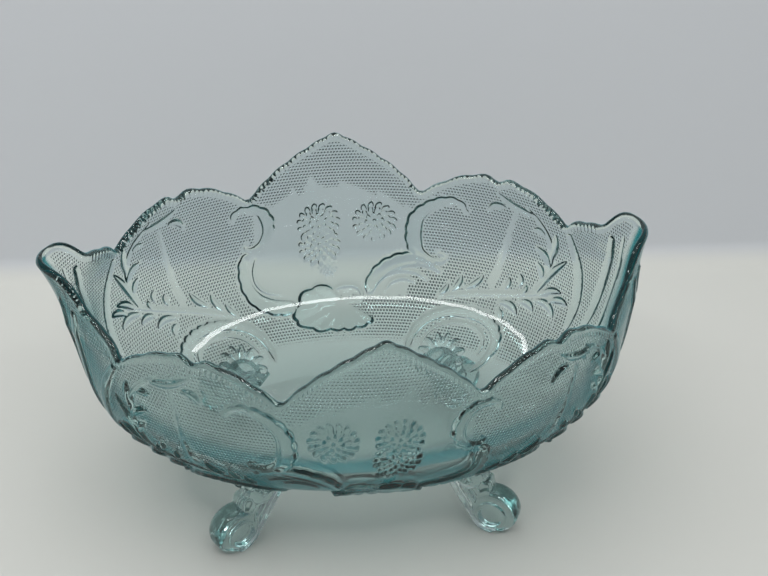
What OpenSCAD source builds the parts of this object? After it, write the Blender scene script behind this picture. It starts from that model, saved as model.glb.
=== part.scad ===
// Oval pressed-glass bowl on four scroll feet, with a cusped rim, flared ends
// and moulded relief of C-scrolls, fern fronds, rosettes and plain ribs.
// Frame: +Z up, table at z = 0, +X to the right along the bowl's length,
// +Y to the back, origin under the middle of the bowl's length and width.
// Angles around the bowl are ellipse angles in degrees from +X.

/* [Bowl] */
// Length of the flat oval underneath
base_l = 133; // [110:1:160]
// Width of the flat oval underneath
base_w = 65; // [50:1:80]
// Length of the wall's oval at its upright height
wall_l = 258; // [215:1:310]
// Width of the wall's oval at its upright height
wall_w = 180; // [150:1:216]
// Height above the flat oval at which the wall stands upright
wall_h = 79; // [66:1:95]
// Wall thickness at the rim
wall_t = 4; // [3:0.1:5]
// Floor thickness
floor_t = 5.5; // [4:0.1:8]
// Fullness of the wall's curve towards the top
swell_top = 3; // [2.4:0.1:3.6]
// Fullness of the wall's curve towards the foot
swell_foot = 1.42; // [1.2:0.02:1.6]
// Inward lean of the two ends above the upright height
end_lean = 0.23; // [0:0.01:0.3]

/* [Flared ends] */
// Outward pull of the left end's tip
flare_left = 22.5; // [10:0.5:28]
// Outward pull of the right end's tip
flare_right = 14; // [10:0.5:28]
// Height above the flat oval at which the flare starts
flare_h = 49; // [40:1:58]
// Angle over which the flare dies away on each side
flare_a = 15; // [10:0.5:20]

/* [Rim] */
// Height of the four pairs of notches above the flat oval
notch_h = 79; // [66:1:94]
// Angle of the notch beside each end
end_notch_a = 29.5; // [26:0.5:33]
// Angle of the notch beside each long side's peak
side_notch_a = 70.3; // [66:0.1:74]
// Rise of the long side's peak above its notches
peak_rise = 36.8; // [28:0.1:42]
// Rise of the corner lobe above its notches
corner_rise = 18.6; // [12:0.1:22]
// Depth of the small dip in the middle of the corner lobe
corner_dip = 4.5; // [0:0.1:6]
// Share of the corner lobe over which its dip dies away
corner_dip_w = 0.032; // [0.02:0.002:0.06]
// Fullness of the corner lobe, where 1 is a plain arch
corner_full = 0.75; // [0.5:0.05:1]
// Fullness of the long side's peak, where 1 is a straight gable
peak_full = 0.64; // [0.5:0.02:1]
// Rise of the end's shoulders above its notches
end_rise = 17; // [12:0.5:24]
// Further rise of the lip at the end's tip
lip_rise = 12.5; // [5:0.5:14]
// Half angle of the lip at the end's tip
lip_a = 16; // [12:0.5:20]
// Half angle over which the rim's points and notches are rounded
rim_round = 1.5; // [0.5:0.1:2.5]
// Height of the moulded edge that tops the wall
edge_h = 1.8; // [1.2:0.1:3]
// Height of the edge's scallops
scallop_h = 0.9; // [0.4:0.1:1.8]

/* [Feet] */
// Height of the bowl's flat underside above the table
stand_h = 27.4; // [22:0.2:34]
// Angle around the bowl at which each knee meets the wall
knee_a = 54.7; // [48:0.1:62]
// Height above the flat oval at which the middle of each knee meets the wall
knee_h = 6.5; // [3:0.1:9]
// Outward turn of the scroll's plane from the bowl's length
foot_turn = 30; // [0:1:45]
// Radius of the rolled scroll
scroll_r = 12; // [10:0.5:14]
// Thickness of the rolled scroll
scroll_t = 13; // [10:0.5:16]
// Thickness of the leg behind the scroll
leg_t = 10; // [7:0.5:13]
// Reach of the leg's head towards the middle of the bowl
leg_reach = 26; // [18:0.5:30]
// Rounding of the scroll's edges
scroll_round = 2.2; // [1:0.1:3]
// Depth of the flat ground off each scroll to stand on
pad_depth = 0.6; // [0.4:0.1:1]
// Radius of the ribbed knee where it meets the bowl
knee_r = 12.5; // [10:0.5:16]
// Share of the knee's radius at its foot, where it meets the leg
knee_taper = 0.72; // [0.5:0.02:0.9]
// Ribs around the knee
knee_ribs = 12; // [8:1:16]
// Depth of the grooves between the knee's ribs
knee_groove = 1.3; // [0.5:0.1:2]

/* [Relief] */
// Half width of the bands of the large scrolls
scroll_w = 3.8; // [2.5:0.1:4]
// Half width of the bands of the smaller scrolls
small_scroll_w = 3; // [2:0.1:3.5]
// Half width of the bands round the feet
volute_w = 3.4; // [2.5:0.1:4]
// Half width of the slim bands inside the scrolls and volutes
inner_band_w = 1.2; // [0.8:0.1:1.5]
// Height of the large scrolls above the wall
scroll_relief = 1.6; // [1:0.1:2.5]
// Height of the fern fronds above the wall
fern_relief = 1.2; // [0.8:0.1:2]
// Half width of a fern's stem
stem_w = 1.3; // [0.8:0.1:1.6]
// Half width of a fern's leaf
leaf_w = 1.5; // [0.8:0.1:1.8]
// Height of the rosettes above the wall
flower_relief = 1.3; // [0.8:0.1:2]
// Radius of a rosette
flower_r = 12; // [9:0.5:13]
// Share of full size of the lowest rosette
small_flower = 0.7; // [0.5:0.05:0.8]
// Petals in a rosette
petals = 13; // [9:1:17]
// Half widths of the plain ribs on the ends, from the corner to the tip
rib_w = [3.8, 3.4, 1.6]; // [0.8:0.1:4]
// Half width of a lobe of the shell
lobe_w = 3; // [2:0.1:3.5]
// Height of the plain ribs on the ends
rib_relief = 1; // [0.6:0.1:2]
// Joint line between each moulded form and the glass that carries it
seat = 0.3; // [0.25:0.05:0.5]

/* [Hidden] */

glass = [0.62, 0.78, 0.79];
relief_glass = [0.72, 0.86, 0.86];
foot_glass = [0.78, 0.89, 0.88];

// Heights above the table
floor_z = stand_h + floor_t;
upright_z = stand_h + wall_h;
notch_z = stand_h + notch_h;
flare_z = stand_h + flare_h;
tip_z = notch_z + end_rise + lip_rise - edge_h - scallop_h;

// The longer flare moves the bowl so that the origin stays under its middle
middle_x = (flare_left - flare_right) / 2;

// Steps around a quarter of the rim: two make a scallop, and one scallop tops each peak
end_steps = 8;
corner_steps = 12;
side_steps = 9;
scallop_steps = 2;
// Samples of the edge along one step
edge_samples = 2;
// Share of the edge's height at which its sides round over
edge_side = 0.6;
// Rings up the outside and down the inside of the wall
outer_rings = 10;
inner_rings = 6;

function smooth(u) = let (k = min(1, max(0, u))) k * k * (3 - 2 * k);
function unit(v) = v / norm(v);
function mix(a, b, u) = a + (b - a) * u;
function mean(v) = v * [for (x = v) 1] / len(v);
function spread(a, b, n) = [for (i = [0 : n - 1]) mix(a, b, i / n)];

// Ellipse angle folded into one quarter: 0 at an end, 90 in the middle of a side
function fold(t) = abs((t + 810) % 180 - 90);

// Rim
function end_lobe(a) = end_rise * sqrt(1 - pow(a / end_notch_a, 2)) + lip_rise * smooth(2 * (1 - a / lip_a));
function corner_lobe(u) = corner_rise * pow(sin(180 * u), corner_full)
    - corner_dip * exp(-pow((u - 0.5) / corner_dip_w, 2));
function side_peak(u) = peak_rise * pow(u, peak_full);
function cusped_z(t) = let (a = fold(t))
    notch_z + (a <= end_notch_a ? end_lobe(a)
        : a <= side_notch_a ? corner_lobe((a - end_notch_a) / (side_notch_a - end_notch_a))
        : side_peak((a - side_notch_a) / (90 - side_notch_a)));
// The cusps are rounded by the mean height over a small angle
round_steps = 3;
function rim_z(t) = mean([for (i = [-round_steps : round_steps]) cusped_z(t + rim_round * i / round_steps)]);
function lip_z(t) = rim_z(t) - edge_h - scallop_h;

// Wall: outside at inset 0, inside at inset 1
function swell(z, inset) = let (z0 = mix(stand_h, floor_z, inset), s = (z - z0) / (upright_z - z0))
    pow(1 - pow(1 - min(1, max(0, s)), swell_top), 1 / swell_foot);
function half_l(z, inset) = mix(base_l, wall_l, swell(z, inset)) / 2 - inset * wall_t
    - end_lean * max(0, z - upright_z);
function half_w(z, inset) = mix(base_w, wall_w, swell(z, inset)) / 2 - inset * wall_t;
function flare_reach(t) = (cos(t) < 0 ? flare_left : flare_right) * exp(-pow(fold(t) / flare_a, 2));
function flare(t, z) = flare_reach(t) * pow(max(0, z - flare_z) / (tip_z - flare_z), 2);
function shell_point(t, z, inset) = [
    middle_x + (half_l(z, inset) + flare(t, z)) * cos(t),
    half_w(z, inset) * sin(t),
    z
];

// The relief is drawn for a wall of these sizes, with its heights above the flat
// oval, and follows the wall when its sizes change
drawn_l = 258;
drawn_w = 180;
drawn_h = 79;
relief_fit = min(wall_l / drawn_l, wall_w / drawn_w, notch_h / drawn_h);
function wall_z(h) = stand_h + h * notch_h / drawn_h;

// Wall directions and a point at a height above the outside of the wall
function along(t, z) = shell_point(t + 0.5, z, 0) - shell_point(t - 0.5, z, 0);
function upward(t, z) = shell_point(t, z + 0.5, 0) - shell_point(t, z - 0.5, 0);
function on_wall(t, z, height) = shell_point(t, z, 0) + height * unit(cross(along(t, z), upward(t, z)));

// The wall's straight steps stand proud of the hollow flare by up to this much
ring_gap = (tip_z - stand_h) * (1 - pow(1 - 1 / outer_rings, swell_foot));
function step_proud(t) = flare_reach(t) * pow(ring_gap / (tip_z - flare_z), 2) / 4;

// Height of the bowl's underside over a point of the table, found by halving
function is_outside(x, y, z) = pow((x - middle_x) / half_l(z, 0), 2) + pow(y / half_w(z, 0), 2) > 1;
function under_z(x, y, low, high, n) = n == 0 ? low
    : let (mid = (low + high) / 2)
        is_outside(x, y, mid) ? under_z(x, y, mid, high, n - 1) : under_z(x, y, low, mid, n - 1);
function underside(x, y) = is_outside(x, y, stand_h) ? under_z(x, y, stand_h, upright_z, 20) : stand_h;

// Angles all round the rim, with every notch and peak among them
quarter = concat(
    spread(0, end_notch_a, end_steps),
    spread(end_notch_a, side_notch_a, corner_steps),
    spread(side_notch_a, 90, side_steps)
);
steps = len(quarter);
half_turn = concat(quarter, [90], [for (i = [1 : steps - 1]) 180 - quarter[steps - i]]);
around = concat(half_turn, [for (t = half_turn) t + 180]);

// Triangles of a loft through n rings of m points, capped or closed into a loop
function quad(a, b, c, d) = [[a, c, b], [a, d, c]];
function loft_sides(n, m, loop) = [
    for (i = [0 : n - (loop ? 1 : 2)], j = [0 : m - 1])
        let (k = (i + 1) % n, l = (j + 1) % m)
            each quad(i * m + j, i * m + l, k * m + l, k * m + j)
];
module loft(rings, loop = false) {
    n = len(rings);
    m = len(rings[0]);
    last = (n - 1) * m;
    caps = loop ? [] : concat(
        [for (j = [1 : m - 2]) [0, j, j + 1]],
        [for (j = [1 : m - 2]) [last, last + j + 1, last + j]]
    );
    polyhedron([for (r = rings) each r], concat(loft_sides(n, m, loop), caps));
}

// A moulded band along a path of [angle, drawn height, share of full size]
function band_ring(path, i, half_width, height, profile) = let (
    p = path[i],
    a = path[max(0, i - 1)],
    b = path[min(len(path) - 1, i + 1)],
    z = wall_z(p[1]),
    mt = norm(along(p[0], z)),
    mz = norm(upward(p[0], z)),
    run = unit([(b[0] - a[0]) * mt, (wall_z(b[1]) - wall_z(a[1])) * mz])
) [
    for (q = profile)
        let (w = q[0] * half_width * relief_fit * p[2])
            on_wall(p[0] + run[1] * w / mt, z - run[0] * w / mz,
                seat + step_proud(p[0]) + q[1] * height * p[2])
];
round_profile = [[-1, 0], [-0.7, 0.75], [0, 1], [0.7, 0.75], [1, 0]];
ridge_profile = [[-1, 0], [0, 1], [1, 0]];
hollow_profile = [[-1, 0], [-0.75, 1], [0, 0.35], [0.75, 1], [1, 0]];

module band(path, half_width, height, profile) {
    loft([for (i = [0 : len(path) - 1]) band_ring(path, i, half_width, height, profile)]);
}

// Share of full size along a leaf or scroll that is slim at both ends
function slim(u, least) = mix(least, 1, sin(180 * min(1, max(0, u))));

// Path along an oval arc on the wall
function arc_path(centre, radii, arc, n, least) = [
    for (i = [0 : n])
        let (f = mix(arc[0], arc[1], i / n))
            [centre[0] + radii[0] * cos(f), centre[1] + radii[1] * sin(f), slim(i / n, least)]
];

// Path of a leaf from its stem to its tip, bowed sideways and blunt at the stem;
// a degree of angle is about two millimetres long
leaf_blunt = 0.08;
leaf_sharp = 0.98;
leaf_least = 0.1;
degree_mm = 2;
function leaf_path(base, tip, bow, n) = [
    for (i = [0 : n])
        let (u = i / n, p = mix(base, tip, u), d = tip - base, side = bow * sin(180 * u))
            [p[0] - side * d[1] / degree_mm, p[1] + side * d[0] * degree_mm,
                slim(mix(leaf_blunt, leaf_sharp, u), leaf_least)]
];

module bowl() {
    color(glass)
        loft(concat(
            [for (i = [0 : outer_rings]) [for (t = around)
                shell_point(t, mix(stand_h, lip_z(t), pow(i / outer_rings, swell_foot)), 0)]],
            [for (i = [inner_rings : -1 : 0]) [for (t = around)
                shell_point(t, mix(floor_z, lip_z(t), pow(i / inner_rings, swell_foot)), 1)]]
        ));
}

module rim_edge() {
    count = len(around);
    scallop = scallop_steps * edge_samples;
    function is_lip(i) = fold(around[i % count]) < lip_a;
    // Crest of the edge: low where two scallops meet, high between, and plain at the ends' lips
    function crest(k) = edge_h + scallop_h * (
        is_lip(floor(k / edge_samples)) || is_lip(ceil(k / edge_samples)) ? 1
            : sin(180 * (k % scallop) / scallop)
    );
    // The edge follows the wall's own straight steps, so it sits flat on the lip
    function lip_point(t, inset) = shell_point(t, lip_z(t), inset);
    function lip(k, inset, up) = let (
        i = floor(k / edge_samples),
        a = lip_point(around[i], inset),
        b = lip_point(around[(i + 1) % count], inset)
    ) mix(a, b, k / edge_samples - i) + [0, 0, up];
    color(relief_glass)
        loft([
            for (k = [0 : count * edge_samples - 1])
                [
                    lip(k, 0, seat / 2), lip(k, 1, seat / 2), lip(k, 1, edge_side * crest(k)),
                    lip(k, 0.5, crest(k)), lip(k, 0, edge_side * crest(k))
                ]
        ], loop = true);
}

// Where a knee meets the wall and where its foot stands: side_x and side_y are -1
// or 1, and the knee lies over the middle of the leg's head
knee_on_wall = wall_z(knee_h);
function knee_place(side_x, side_y) = [
    side_x * half_l(knee_on_wall, 0) * cos(knee_a) + middle_x,
    side_y * half_w(knee_on_wall, 0) * sin(knee_a)
];
function outward(side_x, side_y) = [side_x * cos(foot_turn), side_y * sin(foot_turn)];
function pad_place(side_x, side_y) = knee_place(side_x, side_y) + outward(side_x, side_y) * leg_reach / 2;
knee_z = stand_h - seat;
// Rings of the knee's top, as shares of its radius from the rim to the middle
knee_rings = [1, 0.66, 0.33, 0.02];
leg_top = knee_z - seat;
scroll_z = scroll_r - pad_depth;

// Point where a line from the leg's inner head touches the scroll
function touch_point() = let (
    head = [-leg_reach, leg_top - scroll_z],
    away = norm(head),
    turn = atan2(head[1], head[0]) + acos(scroll_r / away)
) scroll_r * [cos(turn), sin(turn)];

// The volute's ridge on a face of the scroll: half turns that step inwards
ridge_r = 1.1;
ridge_step = 1.6;
ridge_outer = 8.2;
ridge_turns = 4;

module scroll_ridge() {
    for (i = [0 : ridge_turns - 1])
        translate([i % 2 == 0 ? 0 : -ridge_step, 0, scroll_t / 2])
            rotate([0, 0, i * 180])
                rotate_extrude(angle = 180, $fn = 48)
                    translate([ridge_outer - i * ridge_step, 0])
                        circle(r = ridge_r, $fn = 24);
}

module scroll_foot() {
    // The scroll's axis lies along local Y and the leg rises towards local -X
    touch = touch_point();
    difference() {
        translate([0, 0, scroll_z])
            rotate([90, 0, 0])
                union() {
                    rotate_extrude($fn = 64)
                        polygon([
                            [0, -scroll_t / 2], [scroll_r - scroll_round, -scroll_t / 2],
                            [scroll_r, scroll_round - scroll_t / 2], [scroll_r, scroll_t / 2 - scroll_round],
                            [scroll_r - scroll_round, scroll_t / 2], [0, scroll_t / 2]
                        ]);
                    linear_extrude(height = leg_t, center = true)
                        polygon([
                            [-leg_reach, leg_top - scroll_z], [0, leg_top - scroll_z],
                            [0, 0], touch
                        ]);
                    for (face = [0, 1])
                        mirror([0, 0, face])
                            scroll_ridge();
                }
        translate([0, 0, -scroll_r])
            cube([4 * scroll_r, 4 * scroll_r, 2 * scroll_r], center = true);
    }
}

module foot(side_x, side_y) {
    place = pad_place(side_x, side_y);
    away = outward(side_x, side_y);
    color(foot_glass)
        translate([place[0], place[1], 0])
            rotate([0, 0, atan2(away[1], away[0])])
                scroll_foot();
}

module knee(side_x, side_y) {
    place = knee_place(side_x, side_y);
    sides = 3 * knee_ribs;
    function knee_radius(f) = knee_r - knee_groove * (1 - abs(sin(knee_ribs * f / 2)));
    function at(f, share) = place + share * knee_radius(f) * [cos(f), sin(f)];
    function top(f, share) = let (p = at(f, share)) [p[0], p[1], underside(p[0], p[1]) - seat];
    function bottom(f) = let (p = at(f, knee_taper)) [p[0], p[1], knee_z - seat / 2];
    turn = spread(0, 360, sides);
    color(foot_glass)
        loft(concat(
            [[for (f = turn) bottom(f)]],
            [for (share = knee_rings) [for (f = turn) top(f, share)]]
        ));
}

// Relief is laid out on the back: half a turn of the layout gives the front,
// and what repeats in every quarter is laid out on the right and mirrored
function turned(path, front) = [for (p = path) [p[0] + (front ? 180 : 0), p[1], p[2]]];
function mirrored(path) = [for (i = [len(path) - 1 : -1 : 0]) let (p = path[i]) [180 - p[0], p[1], p[2]]];
function in_quarter(path, left, front) = left != front ? turned(mirrored(path), front) : turned(path, front);

// The volute round each knee: a broad hollow band with a slim one inside it, each
// an oval arc that starts and ends slim. Their radii are in degrees and in height.
volute_at = [knee_a - 2.2, knee_h + 2.1];
volute_clear = [-1, -3];
volute_step = 3.5;
volute_inner = knee_r * [1, 1] + volute_clear;
volute_outer = volute_inner + volute_step * [1, 1];
volute_outer_arc = [-5, 185];
volute_inner_arc = [25, 155];
volute_least = 0.3;

module volute(left, front) {
    broad = arc_path(volute_at, volute_outer, volute_outer_arc, 13, volute_least);
    slight = arc_path(volute_at, volute_inner, volute_inner_arc, 8, volute_least);
    color(relief_glass) {
        band(in_quarter(broad, left, front), volute_w, scroll_relief, hollow_profile);
        band(in_quarter(slight, left, front), inner_band_w, fern_relief, round_profile);
    }
}

// A level frond that runs to the end of the bowl, and one that rises to the rim
// and leans towards the corner at both of its ends
function level_stem(u) = [mix(61, 29, u), 23.1 + 12 * u + 10.5 * u * u];
upright_h = 58.6;
rising_lean = [4.7, 8];
rising_reach = 22;
rising_span = [41.6, 80.6];
function rising_stem(h) = [
    33.4 + (h < upright_h ? rising_lean[0] : rising_lean[1]) * pow((h - upright_h) / rising_reach, 2),
    h
];
stem_steps = 8;
stem_least = 0.4;
// Leaves along the level stem, below and above it, and inside the rising stem:
// their places, the ends of a leaf measured from the stem, and its bow
leaves_below = [[0.4, 0.56, 0.72, 0.88], [-1.2, -1.8], [-6.5, -3.8], 0.1];
leaves_above = [[0.1, 0.28, 0.46, 0.64], [0, 2.6], [-1.6, 9], -0.25];
leaves_inside = [[45.6, 53.6, 61.6], [1.2, 1], [4.8, 8.5], 0.2];
// Single leaves: both ends and the bow
tip_leaves = [
    [[28.4, 46], [26.3, 49], 0],
    [[34, 43.1], [29.6, 60.6], -0.1],
    [[31.8, 64.6], [32.6, 76.6], -0.1],
    [[43.4, 81.2], [50.4, 85.2], -0.3]
];
leaf_steps = 4;

module fern(left, front) {
    shares = [for (i = [0 : stem_steps]) i / stem_steps];
    level = [for (u = shares) concat(level_stem(u), slim(u, stem_least))];
    rising = [for (u = shares)
        concat(rising_stem(mix(rising_span[0], rising_span[1], u)), slim(u, stem_least))];
    function leaf_row(stems, row) = [for (p = stems) leaf_path(p + row[1], p + row[2], row[3], leaf_steps)];
    leaves = concat(
        leaf_row([for (u = leaves_below[0]) level_stem(u)], leaves_below),
        leaf_row([for (u = leaves_above[0]) level_stem(u)], leaves_above),
        leaf_row([for (h = leaves_inside[0]) rising_stem(h)], leaves_inside),
        [for (leaf = tip_leaves) leaf_path(leaf[0], leaf[1], leaf[2], leaf_steps)]
    );
    color(relief_glass) {
        band(in_quarter(level, left, front), stem_w, fern_relief, round_profile);
        band(in_quarter(rising, left, front), stem_w, fern_relief, round_profile);
        for (leaf = leaves)
            band(in_quarter(leaf, left, front), leaf_w, fern_relief, ridge_profile);
    }
}

// Plain ribs up each end, the same on both sides of its tip: both ends of each, and
// how far its middle bows towards the tip, in degrees
end_rib_runs = [
    [[19.5, 30.6], [28.2, 74.6], 1.4],
    [[13, 34.6], [12, 84.6], 0],
    [[6.6, 40.6], [7, 88.6], 0]
];
end_rib_steps = 6;
end_rib_least = 0.45;

module end_ribs(middle) {
    function rib(run) = [for (i = [0 : end_rib_steps])
        let (u = i / end_rib_steps, p = mix(run[0], run[1], u))
            [middle + p[0] - run[2] * sin(180 * u), p[1], slim(u, end_rib_least)]];
    // The other side of the tip takes the path backwards, so that its faces point out
    function other_side(path) = [for (i = [len(path) - 1 : -1 : 0])
        let (p = path[i]) [2 * middle - p[0], p[1], p[2]]];
    color(relief_glass)
        for (i = [0 : len(end_rib_runs) - 1]) {
            path = rib(end_rib_runs[i]);
            band(path, rib_w[i], rib_relief, round_profile);
            band(other_side(path), rib_w[i], rib_relief, round_profile);
        }
}

// C-scrolls that frame the smooth middle of each long side: centre, radii, arc,
// steps, share of full size at the ends and half width
large_scrolls = [
    [[110, 64.1], [5.2, 10.5], [55, 305], 11, 0.6, small_scroll_w],
    [[105.3, 36.6], [8, 17], [48, -105], 11, 0.6, scroll_w],
    [[64.5, 61.1], [7, 16], [150, -120], 14, 0.6, scroll_w],
    [[74, 28.6], [8.5, 13.5], [-5, 150], 10, 0.6, volute_w]
];
inner_scroll = [[73.5, 29.6], [4.6, 6.6], [10, 165], 7, 0.35];

module scrolls(front) {
    function scroll_path(c) = turned(arc_path(c[0], c[1], c[2], c[3], c[4]), front);
    color(relief_glass) {
        for (c = large_scrolls)
            band(scroll_path(c), c[5], scroll_relief, hollow_profile);
        band(scroll_path(inner_scroll), inner_band_w, fern_relief, round_profile);
    }
}

// A lobed shell below the middle of each long side: its lobes fan out from a
// hollow at its heart
shell_at = [91, 23.6];
shell_r = [10, 16];
shell_fan = [-25 : 35 : 150];
shell_heart = 0.3;
lobe_steps = 6;

module shell(front) {
    color(relief_glass)
        for (f = shell_fan) {
            away = [shell_r[0] * cos(f), -shell_r[1] * sin(f)];
            lobe = leaf_path(shell_at + shell_heart * away, shell_at + away, 0, lobe_steps);
            band(turned(lobe, front), lobe_w, scroll_relief, round_profile);
        }
}

// Three rosettes in each smooth middle: two large ones stand clear of a small one
flower_gap = 0.1;
low_flower = [92, 37.1];
flower_h = low_flower[1] + (1 + small_flower) * flower_r + flower_gap;
flower_spots = [[94.5, flower_h, 1], [80.5, flower_h + 2, 1], [low_flower[0], low_flower[1], small_flower]];
// Rings of a rosette: share of its radius and share of its relief
flower_rings = [[0.45, 0], [1, 0], [0.9, 1], [0.15, 0.6]];
// Radius and relief of the furrow between two petals, as shares of the petal's
furrow_r = 0.8;
furrow_relief = 0.5;

module flower(t, h, size) {
    z = wall_z(h);
    mt = norm(along(t, z));
    mz = norm(upward(t, z));
    sides = 2 * petals;
    function petal_ring(share, relief) = [for (k = [0 : sides - 1])
        let (f = 360 * k / sides, on_petal = k % 2 == 0,
            r = share * size * flower_r * relief_fit * (on_petal ? 1 : furrow_r))
            on_wall(t + r * cos(f) / mt, z + r * sin(f) / mz,
                seat + relief * flower_relief * (on_petal ? 1 : furrow_relief))];
    loft([for (r = flower_rings) petal_ring(r[0], r[1])]);
}

module flowers(front) {
    color(relief_glass)
        for (p = turned(flower_spots, front))
            flower(p[0], p[1], p[2]);
}

bowl();
rim_edge();
foot(-1, -1);  // foot_front_left
foot(1, -1);  // foot_front_right
foot(-1, 1);  // foot_back_left
foot(1, 1);  // foot_back_right
knee(-1, -1);  // knee_front_left
knee(1, -1);  // knee_front_right
knee(-1, 1);  // knee_back_left
knee(1, 1);  // knee_back_right
volute(left = true, front = true);  // volute_front_left
volute(left = false, front = true);  // volute_front_right
volute(left = true, front = false);  // volute_back_left
volute(left = false, front = false);  // volute_back_right
fern(left = true, front = true);  // fern_front_left
fern(left = false, front = true);  // fern_front_right
fern(left = true, front = false);  // fern_back_left
fern(left = false, front = false);  // fern_back_right
end_ribs(180);  // end_ribs_left
end_ribs(360);  // end_ribs_right
scrolls(front = true);  // scrolls_front
scrolls(front = false);  // scrolls_back
shell(front = true);  // shell_front
shell(front = false);  // shell_back
flowers(front = true);  // flowers_front
flowers(front = false);  // flowers_back
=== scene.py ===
import math
from types import SimpleNamespace

import bpy
import numpy as np
from bpy.props import FloatProperty, FloatVectorProperty, IntProperty, PointerProperty
from mathutils import Matrix, Vector


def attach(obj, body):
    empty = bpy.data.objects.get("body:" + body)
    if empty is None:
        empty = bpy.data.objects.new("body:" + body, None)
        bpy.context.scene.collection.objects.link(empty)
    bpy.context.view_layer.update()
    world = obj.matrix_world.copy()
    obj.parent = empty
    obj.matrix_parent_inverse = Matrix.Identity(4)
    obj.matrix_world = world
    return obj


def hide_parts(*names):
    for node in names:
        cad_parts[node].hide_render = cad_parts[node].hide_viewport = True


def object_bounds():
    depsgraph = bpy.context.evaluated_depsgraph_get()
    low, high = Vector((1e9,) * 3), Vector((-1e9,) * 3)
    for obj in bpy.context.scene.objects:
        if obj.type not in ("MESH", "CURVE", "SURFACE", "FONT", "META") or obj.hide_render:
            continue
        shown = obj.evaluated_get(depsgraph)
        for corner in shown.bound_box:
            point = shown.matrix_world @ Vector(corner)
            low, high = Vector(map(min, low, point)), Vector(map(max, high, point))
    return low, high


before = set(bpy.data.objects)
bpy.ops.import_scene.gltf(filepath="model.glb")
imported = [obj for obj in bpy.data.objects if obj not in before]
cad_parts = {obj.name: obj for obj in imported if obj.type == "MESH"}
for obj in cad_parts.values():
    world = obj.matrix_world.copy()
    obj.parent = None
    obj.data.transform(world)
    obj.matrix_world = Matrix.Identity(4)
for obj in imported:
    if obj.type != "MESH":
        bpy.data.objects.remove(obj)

bl_info = {
    "name": "Pressed-Glass Bowl",
    "version": (1, 0, 0),
    "blender": (4, 5, 0),
    "location": "View3D > Sidebar > Glass Bowl",
    "description": "Builds an oval pressed-glass bowl on four scroll feet, and a plain stage for it",
    "category": "Add Mesh",
}

MM = 0.001
CAD_BOX = [list(corner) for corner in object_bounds()]


def length(name, mm, description):
    """A size property in metres, from a default in millimetres."""
    return FloatProperty(name=name, description=description, default=mm * MM, unit="LENGTH", precision=5)


def angle(name, degrees, description):
    """An angle property, from a default in degrees."""
    return FloatProperty(name=name, description=description, default=math.radians(degrees), subtype="ANGLE")


def number(name, value, description, unit="NONE"):
    """A plain number property."""
    return FloatProperty(name=name, description=description, default=value, unit=unit, precision=4)


def count(name, value, description):
    """A whole-number property."""
    return IntProperty(name=name, description=description, default=value, min=1)


def colour(name, value, description):
    """A linear colour property."""
    return FloatVectorProperty(
        name=name, description=description, default=value, subtype="COLOR", min=0, max=1
    )


class BowlSizes(bpy.types.PropertyGroup):
    """Sizes of the bowl's wall and rim, as in the CAD part."""

    stand_h: length("Stand height", 27.4, "Height of the flat underside above the table")
    base_l: length("Base length", 133, "Length of the flat oval underneath")
    base_w: length("Base width", 65, "Width of the flat oval underneath")
    wall_l: length("Wall length", 258, "Length of the wall's oval at its upright height")
    wall_w: length("Wall width", 180, "Width of the wall's oval at its upright height")
    wall_h: length("Upright height", 79, "Height above the flat oval at which the wall stands upright")
    wall_t: length("Wall thickness", 4, "Wall thickness at the rim")
    floor_t: length("Floor thickness", 5.5, "Thickness of the floor")
    swell_top: number("Top fullness", 3, "Fullness of the wall's curve towards the top")
    swell_foot: number("Foot fullness", 1.42, "Fullness of the wall's curve towards the foot")
    end_lean: number("End lean", 0.23, "Inward lean of the two ends above the upright height")
    flare_left: length("Left flare", 22.5, "Outward pull of the left end's tip")
    flare_right: length("Right flare", 14, "Outward pull of the right end's tip")
    flare_h: length("Flare height", 49, "Height above the flat oval at which the flare starts")
    flare_a: angle("Flare angle", 15, "Angle over which the flare dies away on each side")
    notch_h: length("Notch height", 79, "Height of the notches in the rim above the flat oval")
    end_notch_a: angle("End notch", 29.5, "Angle of the notch beside each end")
    side_notch_a: angle("Side notch", 70.3, "Angle of the notch beside each long side's peak")
    peak_rise: length("Peak rise", 36.8, "Rise of the long side's peak above its notches")
    peak_full: number(
        "Peak fullness", 0.64, "Fullness of the long side's peak, where 1 is a straight gable"
    )
    corner_rise: length("Corner rise", 18.6, "Rise of the corner lobe above its notches")
    corner_full: number("Corner fullness", 0.75, "Fullness of the corner lobe, where 1 is a plain arch")
    corner_dip: length("Corner dip", 4.5, "Depth of the small dip in the middle of the corner lobe")
    corner_dip_w: number("Dip width", 0.032, "Share of the corner lobe over which its dip dies away")
    end_rise: length("End rise", 17, "Rise of the end's shoulders above its notches")
    lip_rise: length("Lip rise", 12.5, "Further rise of the lip at the end's tip")
    lip_a: angle("Lip angle", 16, "Half angle of the lip at the end's tip")
    rim_round: angle("Rim rounding", 1.5, "Half angle over which the rim's points and notches are rounded")
    edge_h: length("Edge height", 1.8, "Height of the moulded edge that tops the wall")
    scallop_h: length("Scallop height", 0.9, "Height of the edge's scallops")


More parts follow.
